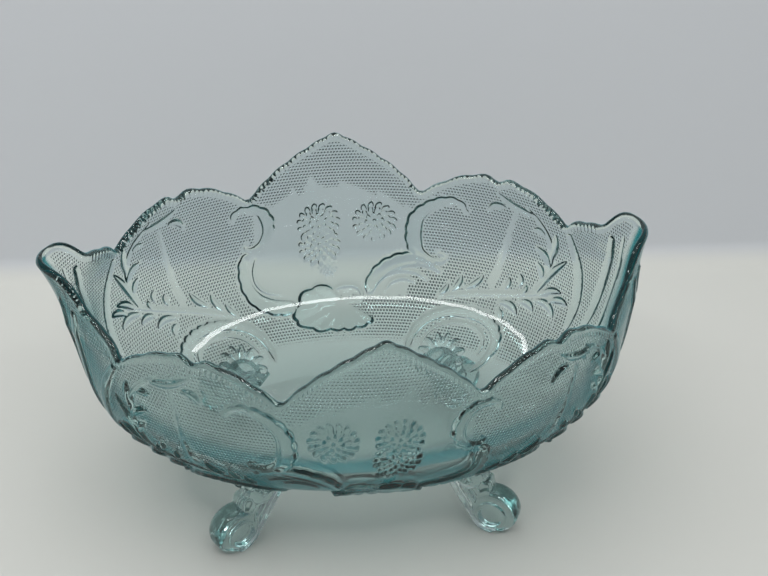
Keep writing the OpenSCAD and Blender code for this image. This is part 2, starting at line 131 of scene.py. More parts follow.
class FootSizes(bpy.types.PropertyGroup):
    """Sizes of a scroll foot and its ribbed knee, as in the CAD part."""

    knee_a: angle("Knee angle", 54.7, "Angle around the bowl at which each knee meets the wall")
    knee_h: length("Knee height", 6.5, "Height above the flat oval at which the knee meets the wall")
    foot_turn: angle("Foot turn", 30, "Outward turn of the scroll's plane from the bowl's length")
    scroll_r: length("Scroll radius", 12, "Radius of the rolled scroll")
    scroll_t: length("Scroll thickness", 13, "Thickness of the rolled scroll")
    scroll_round: length("Scroll rounding", 4.4, "Rounding of the scroll's edges")
    leg_t: length("Leg thickness", 10, "Thickness of the leg behind the scroll")
    leg_reach: length("Leg reach", 26, "Reach of the leg's head towards the middle of the bowl")
    leg_back: length(
        "Leg back", 3, "Distance of the leg's outer edge from the scroll's middle, towards the bowl"
    )
    ridge_r: length("Leg ridges", 1.3, "Radius of the ridges along the leg's inner edge")
    ring_r: length("Scroll ring", 6.4, "Radius of the ring on the scroll's outer face")
    pad_depth: length("Pad depth", 0.6, "Depth of the flat ground off each scroll to stand on")
    knee_r: length("Knee radius", 12.5, "Radius of the ribbed knee where it meets the bowl")
    knee_ribs: count("Knee ribs", 12, "Ribs around the knee")
    sink: length("Sink", 0.3, "Depth by which the foot's head runs into the bowl's underside")
    voxel: length("Grain", 0.45, "Size of the cells in which the foot's forms are melted together")


class ReliefSizes(bpy.types.PropertyGroup):
    """Heights and widths of the moulded relief."""

    scroll_relief: length("Scroll relief", 2.5, "Height of the C-scrolls above the wall")
    shell_relief: length("Shell relief", 3.0, "Height of the shell above the wall")
    scroll_w: length("Scroll width", 5.0, "Half width of the large C-scrolls")
    volute_w: length("Volute width", 3.8, "Half width of the bands round the feet")
    leaf_relief: length("Leaf relief", 1.7, "Height of the ferns' leaves above the wall")
    leaf_w: length("Leaf width", 2.2, "Half width of a fern's longest leaves")
    stem_relief: length("Stem relief", 0.8, "Height of the ferns' stems above the wall")
    stem_w: length("Stem width", 2.0, "Half width of a fern's stem")
    curl_relief: length("Curl relief", 1.0, "Height of the slim curls in the scrolls")
    curl_w: length("Curl width", 1.3, "Half width of the slim curls in the scrolls")
    flower_relief: length("Rosette relief", 2.2, "Height of the rosettes above the wall")
    flower_r: length("Rosette radius", 12, "Radius of a rosette")
    rib_relief: length("Rib relief", 1.1, "Height of the plain ribs on the ends")
    band_h: length("Edge band", 2.8, "Height of the cross-ridged band below the edge")
    ridge_pitch: length("Ridge pitch", 2.6, "Distance between two cross-ridges below the edge")
    ridge_relief: length("Ridge relief", 0.3, "Height of the cross-ridges below the edge")
    edge_swell: length("Edge swell", 0.12, "Outward swell of the wall below its edge")


class GlassLook(bpy.types.PropertyGroup):
    """Look of the glass."""

    tint: colour("Tint", (0.18, 0.55, 0.535), "Colour that the glass keeps of the light in it")
    # Painted shade: the dark teal that stippled glass shows where it is seen edge-on, in place of the long
    # way light takes through the glass there
    edge_tint: colour(
        "Painted edge shade", (0.02, 0.25, 0.28), "Body colour of the glass where it is seen along its surface"
    )
    density: number("Density", 64.0, "Absorption of the glass per metre")
    foot_density: number("Foot density", 30.0, "Absorption of the clearer glass of the feet per metre")
    ior: number("IOR", 1.5, "Refractive index of the glass")
    rough_smooth: number("Polished roughness", 0.015, "Roughness of the fire-polished forms")
    rough_ground: number("Ground roughness", 0.05, "Roughness of the stippled ground")
    row_pitch: length("Stipple rows", 1.7, "Distance between two rows of the stipple")
    dot_pitch: length("Stipple dots", 1.6, "Distance between two dots in a row of the stipple")
    stipple_depth: length("Stipple depth", 0.28, "Height of the stipple's dots")
    wave_depth: length("Wave depth", 0.04, "Height of the slow waves left by the pressing")


class StageLook(bpy.types.PropertyGroup):
    """Look of the table, the backdrop, the lamps and the camera."""

    table_colour: colour("Table", (0.56, 0.565, 0.53), "Colour of the table")
    backdrop_colour: colour("Backdrop", (0.555, 0.575, 0.595), "Colour of the backdrop")
    backdrop_y: length("Backdrop distance", 186, "Distance of the backdrop behind the bowl's middle")
    low_colour: colour("Room", (0.20, 0.21, 0.215), "Colour of the room at the height of the table")
    high_colour: colour("Ceiling", (0.32, 0.33, 0.34), "Colour of the ceiling")
    top_power: number("Top lamp", 8.8, "Power of the soft lamp overhead", "POWER")
    ring_power: number(
        "Ring lamps", 0.7, "Power of each of the slim lamps in a ring above the bowl", "POWER"
    )
    lens: length("Focal length", 83.73, "Focal length of the camera on a 36 mm sensor")


def own_properties(group):
    """A property group's own properties, without those that every group has."""
    return [prop for prop in group.bl_rna.properties if prop.identifier not in ("rna_type", "name")]


def plain_values(group):
    """A property group's values, with lengths in millimetres and angles in degrees."""
    values = {}
    for prop in own_properties(group):
        value = getattr(group, prop.identifier)
        if prop.is_array:
            value = tuple(value)
        elif prop.unit == "LENGTH":
            value /= MM
        elif prop.unit == "ROTATION":
            value = math.degrees(value)
        values[prop.identifier] = value
    return SimpleNamespace(**values)


def in_metres(*values):
    """Millimetres as a tuple of metres."""
    return tuple(value * MM for value in values)


def smooth(u):
    """An eased step from 0 to 1."""
    k = np.clip(u, 0, 1)
    return k * k * (3 - 2 * k)


def mix(a, b, u):
    """The value a share of the way from a to b."""
    return a + (b - a) * u


def fold(t):
    """Ellipse angle folded into one quarter: 0 at an end, 90 in the middle of a side."""
    return np.abs((t + 810) % 180 - 90)


def travelled(points):
    """Distance along a line of points, up to each of them."""
    return np.concatenate([[0], np.cumsum(np.linalg.norm(np.diff(points, axis=0), axis=1))])


class Wall:
    """The bowl's wall, in millimetres: angles around the oval in degrees, heights above the table."""

    # The edge's scallops on half an end, on a corner lobe and on half a side, and the share of an end without
    SCALLOPS = (4, 6, 4.5)
    SCALLOP_POWER = 1.2
    PLAIN_END = 0.625
    ROUNDING_STEPS = 7
    # The angle at which the wall's rows are set out, and the steps that its directions are taken over
    CORNER_A = 55.0
    STEP = 0.25
    # Least heights above the flat oval, where the wall starts level, for an upward direction
    LEAST = (0.01, 0.3)
    HALVINGS = 26

    def __init__(self, sizes):
        self.s = sizes
        self.stand_z = sizes.stand_h
        self.floor_z = sizes.stand_h + sizes.floor_t
        self.upright_z = sizes.stand_h + sizes.wall_h
        self.notch_z = sizes.stand_h + sizes.notch_h
        self.flare_z = sizes.stand_h + sizes.flare_h
        self.edge = sizes.edge_h + sizes.scallop_h
        self.tip_z = self.notch_z + sizes.end_rise + sizes.lip_rise - self.edge
        self.middle_x = (sizes.flare_left - sizes.flare_right) / 2

    def by_part(self, a, end, corner, side):
        """One of three values, for a folded angle on an end, a corner lobe or a side."""
        return np.where(a <= self.s.end_notch_a, end, np.where(a <= self.s.side_notch_a, corner, side))

    def cusped_z(self, t):
        """Height of the rim before its points and notches are rounded."""
        s = self.s
        a = fold(t)
        end = s.end_rise * np.sqrt(np.clip(1 - (a / s.end_notch_a) ** 2, 0, 1))
        end = end + s.lip_rise * smooth(2 * (1 - a / s.lip_a))
        u = np.clip((a - s.end_notch_a) / (s.side_notch_a - s.end_notch_a), 0, 1)
        corner = s.corner_rise * np.sin(np.pi * u) ** s.corner_full
        corner = corner - s.corner_dip * np.exp(-(((u - 0.5) / s.corner_dip_w) ** 2))
        side = s.peak_rise * np.clip((a - s.side_notch_a) / (90 - s.side_notch_a), 0, 1) ** s.peak_full
        return self.notch_z + self.by_part(a, end, corner, side)

    def lip_z(self, t):
        """Height of the wall's top, below the moulded edge."""
        turns = self.s.rim_round * np.linspace(-1, 1, self.ROUNDING_STEPS)
        return sum(self.cusped_z(t + turn) for turn in turns) / len(turns) - self.edge

    def crest(self, t):
        """Height of the moulded edge above the wall's top: scallops, and plain at the ends' lips."""
        s = self.s
        a = fold(t)
        on_end, on_corner, on_side = self.SCALLOPS
        phase = self.by_part(
            a,
            (s.end_notch_a - a) / (s.end_notch_a / on_end),
            (a - s.end_notch_a) / ((s.side_notch_a - s.end_notch_a) / on_corner),
            (a - s.side_notch_a) / ((90 - s.side_notch_a) / on_side),
        )
        wave = np.abs(np.sin(np.pi * phase)) ** self.SCALLOP_POWER
        return s.edge_h + s.scallop_h * np.where(a < s.end_notch_a * self.PLAIN_END, 1, wave)

    def swell(self, z, inset):
        """Share of the way from the flat oval to the upright one."""
        low = mix(self.stand_z, self.floor_z, inset)
        k = np.clip((z - low) / (self.upright_z - low), 0, 1)
        return (1 - (1 - k) ** self.s.swell_top) ** (1 / self.s.swell_foot)

    def half_l(self, z, inset):
        """Half length of the oval, without the flare."""
        s = self.s
        lean = s.end_lean * np.maximum(0, z - self.upright_z)
        return mix(s.base_l, s.wall_l, self.swell(z, inset)) / 2 - inset * s.wall_t - lean

    def half_w(self, z, inset):
        """Half width of the oval."""
        return mix(self.s.base_w, self.s.wall_w, self.swell(z, inset)) / 2 - inset * self.s.wall_t

    def point(self, t, z, inset):
        """A point of the wall: outside at inset 0, inside at inset 1."""
        s = self.s
        c, n = np.cos(np.radians(t)), np.sin(np.radians(t))
        reach = np.where(c < 0, s.flare_left, s.flare_right) * np.exp(-((fold(t) / s.flare_a) ** 2))
        flare = reach * (np.maximum(0, z - self.flare_z) / (self.tip_z - self.flare_z)) ** 2
        x = self.middle_x + (self.half_l(z, inset) + flare) * c
        return np.stack(np.broadcast_arrays(x, self.half_w(z, inset) * n, z), -1)

    def along(self, t, z):
        """Travel along the outside for one degree."""
        ahead, behind = self.point(t + self.STEP, z, 0.0), self.point(t - self.STEP, z, 0.0)
        return (ahead - behind) / (2 * self.STEP)

    def upward(self, t, z):
        """Travel up the outside for one millimetre of height."""
        low = np.maximum(z - self.STEP, self.stand_z + self.LEAST[0])
        high = np.maximum(z + self.STEP, self.stand_z + self.LEAST[1])
        return (self.point(t, high, 0.0) - self.point(t, low, 0.0)) / (high - low)[..., None]

    def normal(self, t, z):
        """Outward direction of the outside."""
        n = np.cross(self.along(t, z), self.upward(t, z))
        return n / np.linalg.norm(n, axis=-1, keepdims=True)

    def even_heights(self, low, high, inset, n):
        """Heights that cut the wall's path at its corner into equal pieces, as shares from 0 to 1."""
        z = low + (high - low) * np.linspace(0, 1, 4000) ** 2
        path = travelled(self.point(np.full_like(z, self.CORNER_A), z, inset))
        return np.interp(np.linspace(0, path[-1], n + 1), path, (z - low) / (high - low))

    def under_z(self, x, y):
        """Height of the underside over points of the table."""
        low = np.full_like(x, self.stand_z)
        high = np.full_like(x, self.upright_z)

        def is_outside(z):
            return ((x - self.middle_x) / self.half_l(z, 0.0)) ** 2 + (y / self.half_w(z, 0.0)) ** 2 > 1

        over_wall = is_outside(low)
        for _ in range(self.HALVINGS):
            mid = (low + high) / 2
            out = is_outside(mid)
            low, high = np.where(out, mid, low), np.where(out, high, mid)
        return np.where(over_wall, low, self.stand_z)


# Relief: paths are rows of angle, height and share of full size

# Millimetres that stand for a degree in lengths along a path, and a steep flank's width for its height
DEGREE = 2.0
FLANK = 1.1
# Layers of a rosette's petals: share of its radius, petals, turn, and base and lift as shares of its height
PETAL_LAYERS = ((1, 15, 0, 0, 0.55), (0.74, 12, 0.25, 0.2, 0.55), (0.46, 8, 0.1, 0.4, 0.6))


def slim(u, least):
    """Share of full size along a form that is slim at both ends."""
    return mix(least, 1, np.sin(np.pi * np.clip(u, 0, 1)) ** 0.7)


def arc(centre, radii, turn, least, n=72):
    """Path along an oval arc on the wall."""
    u = np.linspace(0, 1, n)
    f = np.radians(mix(turn[0], turn[1], u))
    t, z = centre[0] + radii[0] * np.cos(f), centre[1] + radii[1] * np.sin(f)
    return np.stack([t, z, slim(u, least)], 1)


def curve(points, n=90):
    """Smooth path through rows of angle, height and share of full size."""
    p = np.asarray(points, float)
    p = np.concatenate([2 * p[:1] - p[1:2], p, 2 * p[-1:] - p[-2:-1]])
    k = np.linspace(0, len(points) - 1, n)
    i = np.minimum(k.astype(int), len(points) - 2)
    u = (k - i)[:, None]
    a, b, c, d = p[i], p[i + 1], p[i + 2], p[i + 3]
    path = b + u / 2 * (c - a + u * (2 * a - 5 * b + 4 * c - d + u * (3 * (b - c) + d - a)))
    path[:, 2] = np.clip(path[:, 2], 0.05, 1)
    return path


def leaf(base, tip, bow, n=24):
    """Path of a leaf from its stem to its tip, bowed sideways."""
    u = np.linspace(0, 1, n)
    side = bow * np.sin(np.pi * u)
    t = mix(base[0], tip[0], u) - side * (tip[1] - base[1]) / DEGREE
    z = mix(base[1], tip[1], u) + side * (tip[0] - base[0]) * DEGREE
    least, fullness = 0.12, 0.8
    share = mix(least, 1, np.sin(np.pi * mix(0.08, 0.98, u)) ** fullness)
    return np.stack([t, z, share], 1)


def mirrored(path):
    """The same path in the left quarter, run backwards so that its sides keep their meaning."""
    t, z, share = path[::-1].T
    return np.stack([180 - t, z, share], 1)


def flank(inside, height):
    """A steep flank: 0 at the outline, 1 where it has risen by its full height."""
    return smooth(inside / (FLANK * height))


# Cross-sections of the bands, over the place to the side of the path and the run along it


def ribbon(side, width, run, height):
    """A C-scroll: a steep notched outer edge, and a top that falls towards a soft inner edge."""
    notch_depth, notch_pitch, soft_edge = 0.7, 5.6, 1.4
    furrow, fall, bead, bead_w = 0.75, 0.55, 0.25, 0.12
    inward = (side + width) / (2 * width)
    outside = side + width - notch_depth * (1 - np.abs(np.sin(np.pi * run / notch_pitch)))
    top = 1 - fall * smooth(inward / furrow) + bead * smooth((inward - furrow) / bead_w)
    return flank(outside, height) * smooth((width - side) / soft_edge) * top


def plain_band(side, width, run, height):
    """A rib: steep flanks and a gently rounded top."""
    return flank(width - np.abs(side), height) * (1 - 0.2 * (side / width) ** 2)


def blade(side, width, run, height):
    """A leaf: rounded, with steep edges."""
    return np.clip(1 - (side / width) ** 2, 0, 1)


def stem(side, width, run, height):
    """A stem: rounded, with soft flanks."""
    return blade(side, width, run, height) ** 2


class Relief:
    """Height of the relief over the outside of the wall, in millimetres, on a fine lattice."""

    COLUMNS = 2400
    ROWS = 440

    def __init__(self, wall, top_z):
        self.dt = 360 / self.COLUMNS
        self.t = np.arange(self.COLUMNS) * self.dt
        low = wall.stand_z + 0.05
        self.z = low + (top_z - low) * wall.even_heights(low, top_z, 0.0, self.ROWS - 1)
        tt, zz = np.meshgrid(self.t, self.z)
        self.mt = np.linalg.norm(wall.along(tt, zz), axis=-1)
        self.mz = np.linalg.norm(wall.upward(tt, zz), axis=-1)
        self.height = np.zeros_like(tt)
        self.plain = np.zeros_like(tt)

    def window(self, t, z, reach):
        """Lattice rows and columns around angles and heights, with their angles and heights."""
        rows = np.flatnonzero((self.z > np.min(z) - reach) & (self.z < np.max(z) + reach))
        first, last = (np.min(t) - reach) / self.dt, (np.max(t) + reach) / self.dt
        cols = np.arange(math.floor(first), math.ceil(last) + 1)
        return np.ix_(rows, cols % self.COLUMNS), cols * self.dt, self.z[rows][:, None]

    def round_point(self, t, z, reach):
        """Lattice rows and columns around a point, with their distance from it and their direction."""
        window, tt, zz = self.window(t, z, reach)
        dx, dy = (tt - t) * self.mt[window], (zz - z) * self.mz[window]
        return window, np.hypot(dx, dy), np.arctan2(dy, dx)

    def lay(self, window, height, plain):
        """Adds a form, which stands where it is higher than what is there, and its plain margin."""
        self.height[window] = np.maximum(self.height[window], height)
        self.plain[window] = np.maximum(self.plain[window], plain)

    def band(self, path, width, height, section):
        """A moulded band along a path."""
        t, z, share = path.T
        window, tt, zz = self.window(t, z, width * 1.4 + 1)
        mt, mz = self.mt[window], self.mz[window]
        dx = (tt[None, :, None] - t) * mt[..., None]
        dy = (zz[..., None] - z) * mz[..., None]
        near = (dx * dx + dy * dy).argmin(-1)
        dx, dy = (np.take_along_axis(d, near[..., None], -1)[..., 0] for d in (dx, dy))
        away = np.sqrt(dx * dx + dy * dy)
        turn = np.gradient(t)[near] * mt * dy - np.gradient(z)[near] * mz * dx
        run = travelled(np.stack([t * DEGREE, z], 1))[near]
        w = width * share[near]
        rise = height * np.sqrt(share[near])
        shape = rise * section(np.where(turn < 0, -away, away), w, run, rise)
        self.lay(window, shape, smooth((w + 0.9 - away) / 0.6))

    def rosette(self, t, z, radius, height):
        """A rosette of layers of slim petals round a button."""
        twist, pointed, hollow, furrow_w, groove, button = 0.03, 0.3, 0.3, 1.1, 0.1, 0.13
        window, r, f = self.round_point(t, z, radius + 1)
        top = flank(button * radius - r, 1.0)
        for share, petals, turn, base, lift in PETAL_LAYERS:
            cell = petals * (f - turn - twist * r) / (2 * np.pi)
            off = np.abs(cell - np.floor(cell) - 0.5)
            tip = share * radius * (1 - pointed * (2 * off) ** 2)
            furrow = smooth((0.5 - off) * 2 * np.pi * r / petals / furrow_w)
            rise = mix(hollow, 1, np.clip(r / tip, 0, 1) ** 1.5) * mix(groove, 1, furrow)
            petal = base + lift * rise
            top = np.maximum(top, petal * flank(tip - r, 0.8))
        self.lay(window, height * top, smooth((radius + 0.8 - r) / 0.8))

    def shell(self, t, z, outline, lobe_a, height):
        """A shell whose lobes fan out from its heart: its outline is rows of turn and radius."""
        turns, radii = np.transpose(outline)
        heart, soft_a, near, valley = 3, 10, 0.2, 0.7
        window, r, f = self.round_point(t, z, radii.max() + 4)
        f = np.degrees(f)
        lobe = np.abs(np.sin(np.pi * (f - turns[0]) / lobe_a))
        edge = np.interp(f, turns, radii) * mix(0.93, 1.02, lobe**0.6)
        fan = smooth((f - turns[0]) / soft_a) * smooth((turns[-1] - f) / soft_a)
        rise = mix(near, 1, np.clip(r / edge, 0, 1) ** 1.2) * mix(valley, 1, lobe)
        shape = height * fan * rise * flank(edge - r, height) * smooth((r - heart) / heart)
        self.lay(window, shape, fan * smooth((edge - r + 0.8) / 0.6))

    def sample(self, field, t, z):
        """Values of a field at angles and heights: it closes round the lattice, or has one column more."""
        c = t / self.dt
        r = np.interp(z, self.z, np.arange(self.ROWS))
        c0 = np.minimum(c.astype(int), self.COLUMNS - 1)
        r0 = np.minimum(r.astype(int), self.ROWS - 2)
        c1 = (c0 + 1) % field.shape[1]
        low, high = (mix(field[row, c0], field[row, c1], c - c0) for row in (r0, r0 + 1))
        return mix(low, high, r - r0)

    def half_turn(self):
        """Copies the back to the front, which is the back turned by half a turn."""
        half = self.COLUMNS // 2
        for field in (self.height, self.plain):
            field[:, half:] = field[:, :half]

    def slope(self):
        """Steepness of the relief, in millimetres per millimetre."""
        across = (np.roll(self.height, -1, 1) - np.roll(self.height, 1, 1)) / (2 * self.dt * self.mt)
        up = np.gradient(self.height, axis=0) / (np.gradient(self.z)[:, None] * self.mz)
        return np.hypot(across, up)


def spread_out(field, n):
    """The field's highest value within n cells."""
    for _ in range(n):
        field = np.maximum(field, np.maximum(np.roll(field, 1, 1), np.roll(field, -1, 1)))
        padded = np.pad(field, ((1, 1), (0, 0)), mode="edge")
        field = np.maximum(field, np.maximum(padded[:-2], padded[2:]))
    return field


# Leaves of a fern in the right quarter of the back: both ends and the bow
FERN_LEAVES = (
    ((62.1, 54.7), (60.2, 60.3), 0.12),
    ((58.7, 57.3), (57.2, 65.2), 0.12),
    ((55.1, 59.7), (51.5, 67.2), 0.12),
    ((44.3, 63.5), (44.3, 69.2), 0.12),
    ((40.5, 66.9), (41.5, 72.3), 0.12),
    ((39.0, 63.7), (38.6, 68.0), 0.12),
    ((44.2, 53.5), (41.3, 49.1), -0.12),
    ((44.8, 56.6), (37.7, 53.7), -0.12),
    ((38.9, 59.8), (33.3, 57.7), -0.12),
    ((34.2, 62.9), (25.8, 59.1), -0.12),
    ((29.8, 65.1), (23.2, 67.7), -0.1),
    ((33.5, 66.2), (27.0, 71.6), -0.1),
    ((35.2, 66.1), (27.8, 89.3), -0.07),
    ((33.2, 87.0), (32.6, 101.0), 0.05),
    ((36.3, 98.3), (39.8, 99.5), 0.12),
    ((33.3, 82.2), (38.4, 89.8), 0.1),
    ((34.7, 73.7), (37.3, 81.7), 0.1),
    ((40.5, 107.6), (49.9, 115.2), -0.1),
    ((48.4, 107.8), (52.8, 103.0), 0.2),
)
LEVEL_STEM = (
    (62.3, 53.2, 0.5), (57.8, 55.2, 0.9), (50, 58.2, 1), (44.8, 60.2, 1), (39.2, 62.8, 1),
    (34.8, 65.5, 0.8), (29, 67.5, 0.4),
)
RISING_STEM = (
    (36, 66, 0.6), (34.3, 75, 1), (33.6, 85, 1), (34.2, 93, 1), (36.5, 100, 0.9), (39.5, 106, 0.7),
    (42, 110, 0.4),
)
# The pale strip between the two stems, and the ribs of an end with their widths
STRIP = ((45.7, 105.6, 0.5), (47.1, 90.8, 0.6), (47.8, 80.4, 0.8), (49.1, 64, 1))
END_RIBS = (
    (((28.4, 103.5, 0.6), (23.6, 88, 1), (21, 73, 1), (19.4, 59, 0.6)), 3.2),
    (((11.8, 116, 0.7), (12.4, 90, 1), (13.2, 60, 0.6)), 3.3),
    (((7.2, 120, 0.7), (6.9, 90, 1), (6.9, 64, 0.6)), 1.6),
)
# C-scrolls of the back, run so that their outer edge lies to the right
SCROLLS = (
    (
        (65, 74.2, 0.2), (62.6, 72.2, 0.25), (63.8, 69.6, 0.4), (66.8, 69.6, 0.6), (69.8, 73, 0.85),
        (71.1, 79, 1), (71.3, 86, 1), (70.8, 92.5, 0.95), (68.6, 98.8, 0.8), (65.3, 103.6, 0.65),
        (62, 105.3, 0.5), (59.6, 103.2, 0.4), (58.5, 99.5, 0.3),
    ),
    (
        (114.2, 98.3, 0.3), (113.4, 101.9, 0.4), (111.5, 103.4, 0.5), (109, 102.8, 0.6),
        (106.8, 100.2, 0.7), (105.5, 95.8, 0.8), (105, 91, 0.8), (105.4, 86, 0.7), (107, 81, 0.55),
        (109.5, 79, 0.4), (111.2, 80.8, 0.3), (110.4, 83.6, 0.2),
    ),
    (
        (102.5, 48.8, 0.9), (105.5, 49.3, 1), (108.5, 51, 1), (110.8, 54, 0.95), (112.2, 58.5, 0.85),
        (112.7, 64, 0.75), (112.5, 69.5, 0.7), (112, 74.5, 0.55), (110.6, 77.3, 0.3),
    ),
    (
        (81.2, 55, 0.7), (79.8, 60.3, 0.9), (77, 65.4, 1), (73, 69, 1), (69, 69.6, 0.8),
        (65.8, 67.6, 0.55), (63.8, 64.8, 0.3),
    ),
)
CURLS = (
    (
        (90.4, 51.1, 0.4), (90.2, 54.5, 0.8), (87.4, 56.4, 1), (84.3, 55.6, 1), (82.9, 52, 0.9),
        (84.3, 49.6, 0.7), (86.7, 49.7, 0.4),
    ),
    ((80, 54, 0.5), (78, 60, 0.9), (74, 63.5, 1), (69.5, 63, 0.9), (66.5, 60, 0.5)),
    ((77, 54, 0.5), (75.5, 58, 0.9), (72.5, 60, 1), (69.6, 58.6, 0.5)),
    ((109, 73.5, 0.4), (109.8, 67, 1), (109.6, 61, 1), (107.6, 57, 0.9), (104, 55, 0.4)),
)
ROSETTES = ((80.4, 89.5, 1), (93.4, 90, 0.97), (93.2, 77, 0.95), (91.5, 66, 0.45))
# Outline of the shell round its heart, as rows of turn and radius
SHELL_OUTLINE = (
    (-152, 17.5), (-134, 20), (-113, 19), (-70, 19.6), (-44, 25), (-34, 25.6), (-22, 29.6), (-14, 29),
    (0, 26.4), (16, 24), (38, 15.6), (52, 12),
)
# Upper border of the smooth middle
JAGGED = (
    (71.5, 98), (76.5, 103.8), (79.3, 107.2), (83.9, 108.3), (85.7, 110.8), (87.4, 115.6), (90.8, 110.1),
    (94.3, 114.8), (95.8, 118.6), (96.4, 112.9), (97.7, 106.8), (99.7, 112), (100.5, 107.6),
    (103.6, 102.6), (106.7, 104.4), (109, 101),
)
# The bands round a foot: their middle, and the radii and turn of the wide band and of the slim one in it
VOLUTE_MIDDLE = (52.5, 36)
VOLUTE = ((15, 13), (-12, 200))
VOLUTE_CURL = ((10.6, 8.6), (0, 180))
VOLUTE_ENDS = 0.4
SHELL_HEART = (87.5, 49.5)
SHELL_LOBE_A = 22
STRIP_RELIEF = 0.5
# Shift of every leaf, the reach from which it has its full width, and the least share of that width
LEAF_SHIFT = (0.4, -0.5, 0)
LONG_LEAF, SLIM_LEAF = 14, 0.55
# The left quarter's ferns are lifted by their angle from the first of these, over the second
LIFT_FROM, LIFT_A = 50, 3
# The smooth middle's ends and foot, and the middle and radii of the oval bay beside it
SMOOTH_ENDS = (71, 109)
SMOOTH_FOOT = 52
BAY = ((105.3, 64), (8, 17))
# What is plain all round: the foot of the wall, and a strip up each end's middle
PLAIN_FOOT, PLAIN_STRIP = 40, 6.5


def lay_ornament(relief, sizes):
    """Lays out the ornament on the back of the bowl and turns it to the front."""

    def lifted(path):
        """A fern of the left quarter, which climbs a little more steeply towards the end."""
        return mirrored(path + np.outer((LIFT_FROM - path[:, 0]) / LIFT_A, (0, 1, 0)))

    def in_quarters(path, width, height, section, left=mirrored):
        relief.band(path, width, height, section)
        relief.band(left(path), width, height, section)

    volute = arc(VOLUTE_MIDDLE, *VOLUTE, VOLUTE_ENDS)
    in_quarters(volute, sizes.volute_w, sizes.scroll_relief, ribbon)
    curl = arc(VOLUTE_MIDDLE, *VOLUTE_CURL, VOLUTE_ENDS)
    in_quarters(curl, sizes.curl_w, sizes.curl_relief, blade)
    for points in (LEVEL_STEM, RISING_STEM):
        in_quarters(curve(points), sizes.stem_w, sizes.stem_relief, stem, lifted)
    for base, tip, bow in FERN_LEAVES:
        reach = math.hypot((tip[0] - base[0]) * DEGREE, tip[1] - base[1])
        width = sizes.leaf_w * min(1, mix(SLIM_LEAF, 1, reach / LONG_LEAF))
        in_quarters(leaf(base, tip, bow) + LEAF_SHIFT, width, sizes.leaf_relief, blade, lifted)
    in_quarters(curve(STRIP), sizes.stem_w, STRIP_RELIEF, stem)
    for points, width in END_RIBS:
        in_quarters(curve(points), width, sizes.rib_relief, plain_band)

    for points in SCROLLS:
        relief.band(curve(points, 140), sizes.scroll_w, sizes.scroll_relief, ribbon)
    for points in CURLS:
        relief.band(curve(points), sizes.curl_w, sizes.curl_relief, blade)
    relief.shell(*SHELL_HEART, SHELL_OUTLINE, SHELL_LOBE_A, sizes.shell_relief)
    for t, z, share in ROSETTES:
        relief.rosette(t, z, sizes.flower_r * share, sizes.flower_relief)

    tt, zz = np.meshgrid(relief.t, relief.z)
    middle = (tt > SMOOTH_ENDS[0]) & (tt < SMOOTH_ENDS[1])
    middle &= (zz > SMOOTH_FOOT) & (zz < np.interp(tt, *np.transpose(JAGGED)))
    (bay_t, bay_z), (bay_a, bay_h) = BAY
    middle |= ((tt - bay_t) / bay_a) ** 2 + ((zz - bay_z) / bay_h) ** 2 < 1
    relief.plain = np.maximum(relief.plain, middle)
    relief.half_turn()
    relief.plain = np.maximum(relief.plain, smooth((PLAIN_FOOT - zz) / 5))
    relief.plain = np.maximum(relief.plain, smooth((PLAIN_STRIP - fold(tt)) / 1.5))


def fresh():
    """Starts from nothing selected, in object mode."""
    if bpy.context.mode != "OBJECT":
        bpy.ops.object.mode_set(mode="OBJECT")
    bpy.ops.object.select_all(action="DESELECT")


def in_edit(*steps):
    """Runs steps on the active mesh in edit mode."""
    bpy.ops.object.mode_set(mode="EDIT")
    for step in steps:
        step()
    bpy.ops.object.mode_set(mode="OBJECT")


def read(items, name, width=1, kind=float):
    """A value of each of a mesh's items, in rows where it has more than one number."""
    values = np.empty(len(items) * width, kind)
    items.foreach_get(name, values)
    return values.reshape(-1, width) if width > 1 else values


def select_faces(mesh, chosen):
    """Selects faces, and with them their edges and vertices."""
    bpy.context.tool_settings.mesh_select_mode = (False, False, True)
    mesh.vertices.foreach_set("select", np.zeros(len(mesh.vertices), bool))
    mesh.edges.foreach_set("select", np.zeros(len(mesh.edges), bool))
    mesh.polygons.foreach_set("select", chosen)


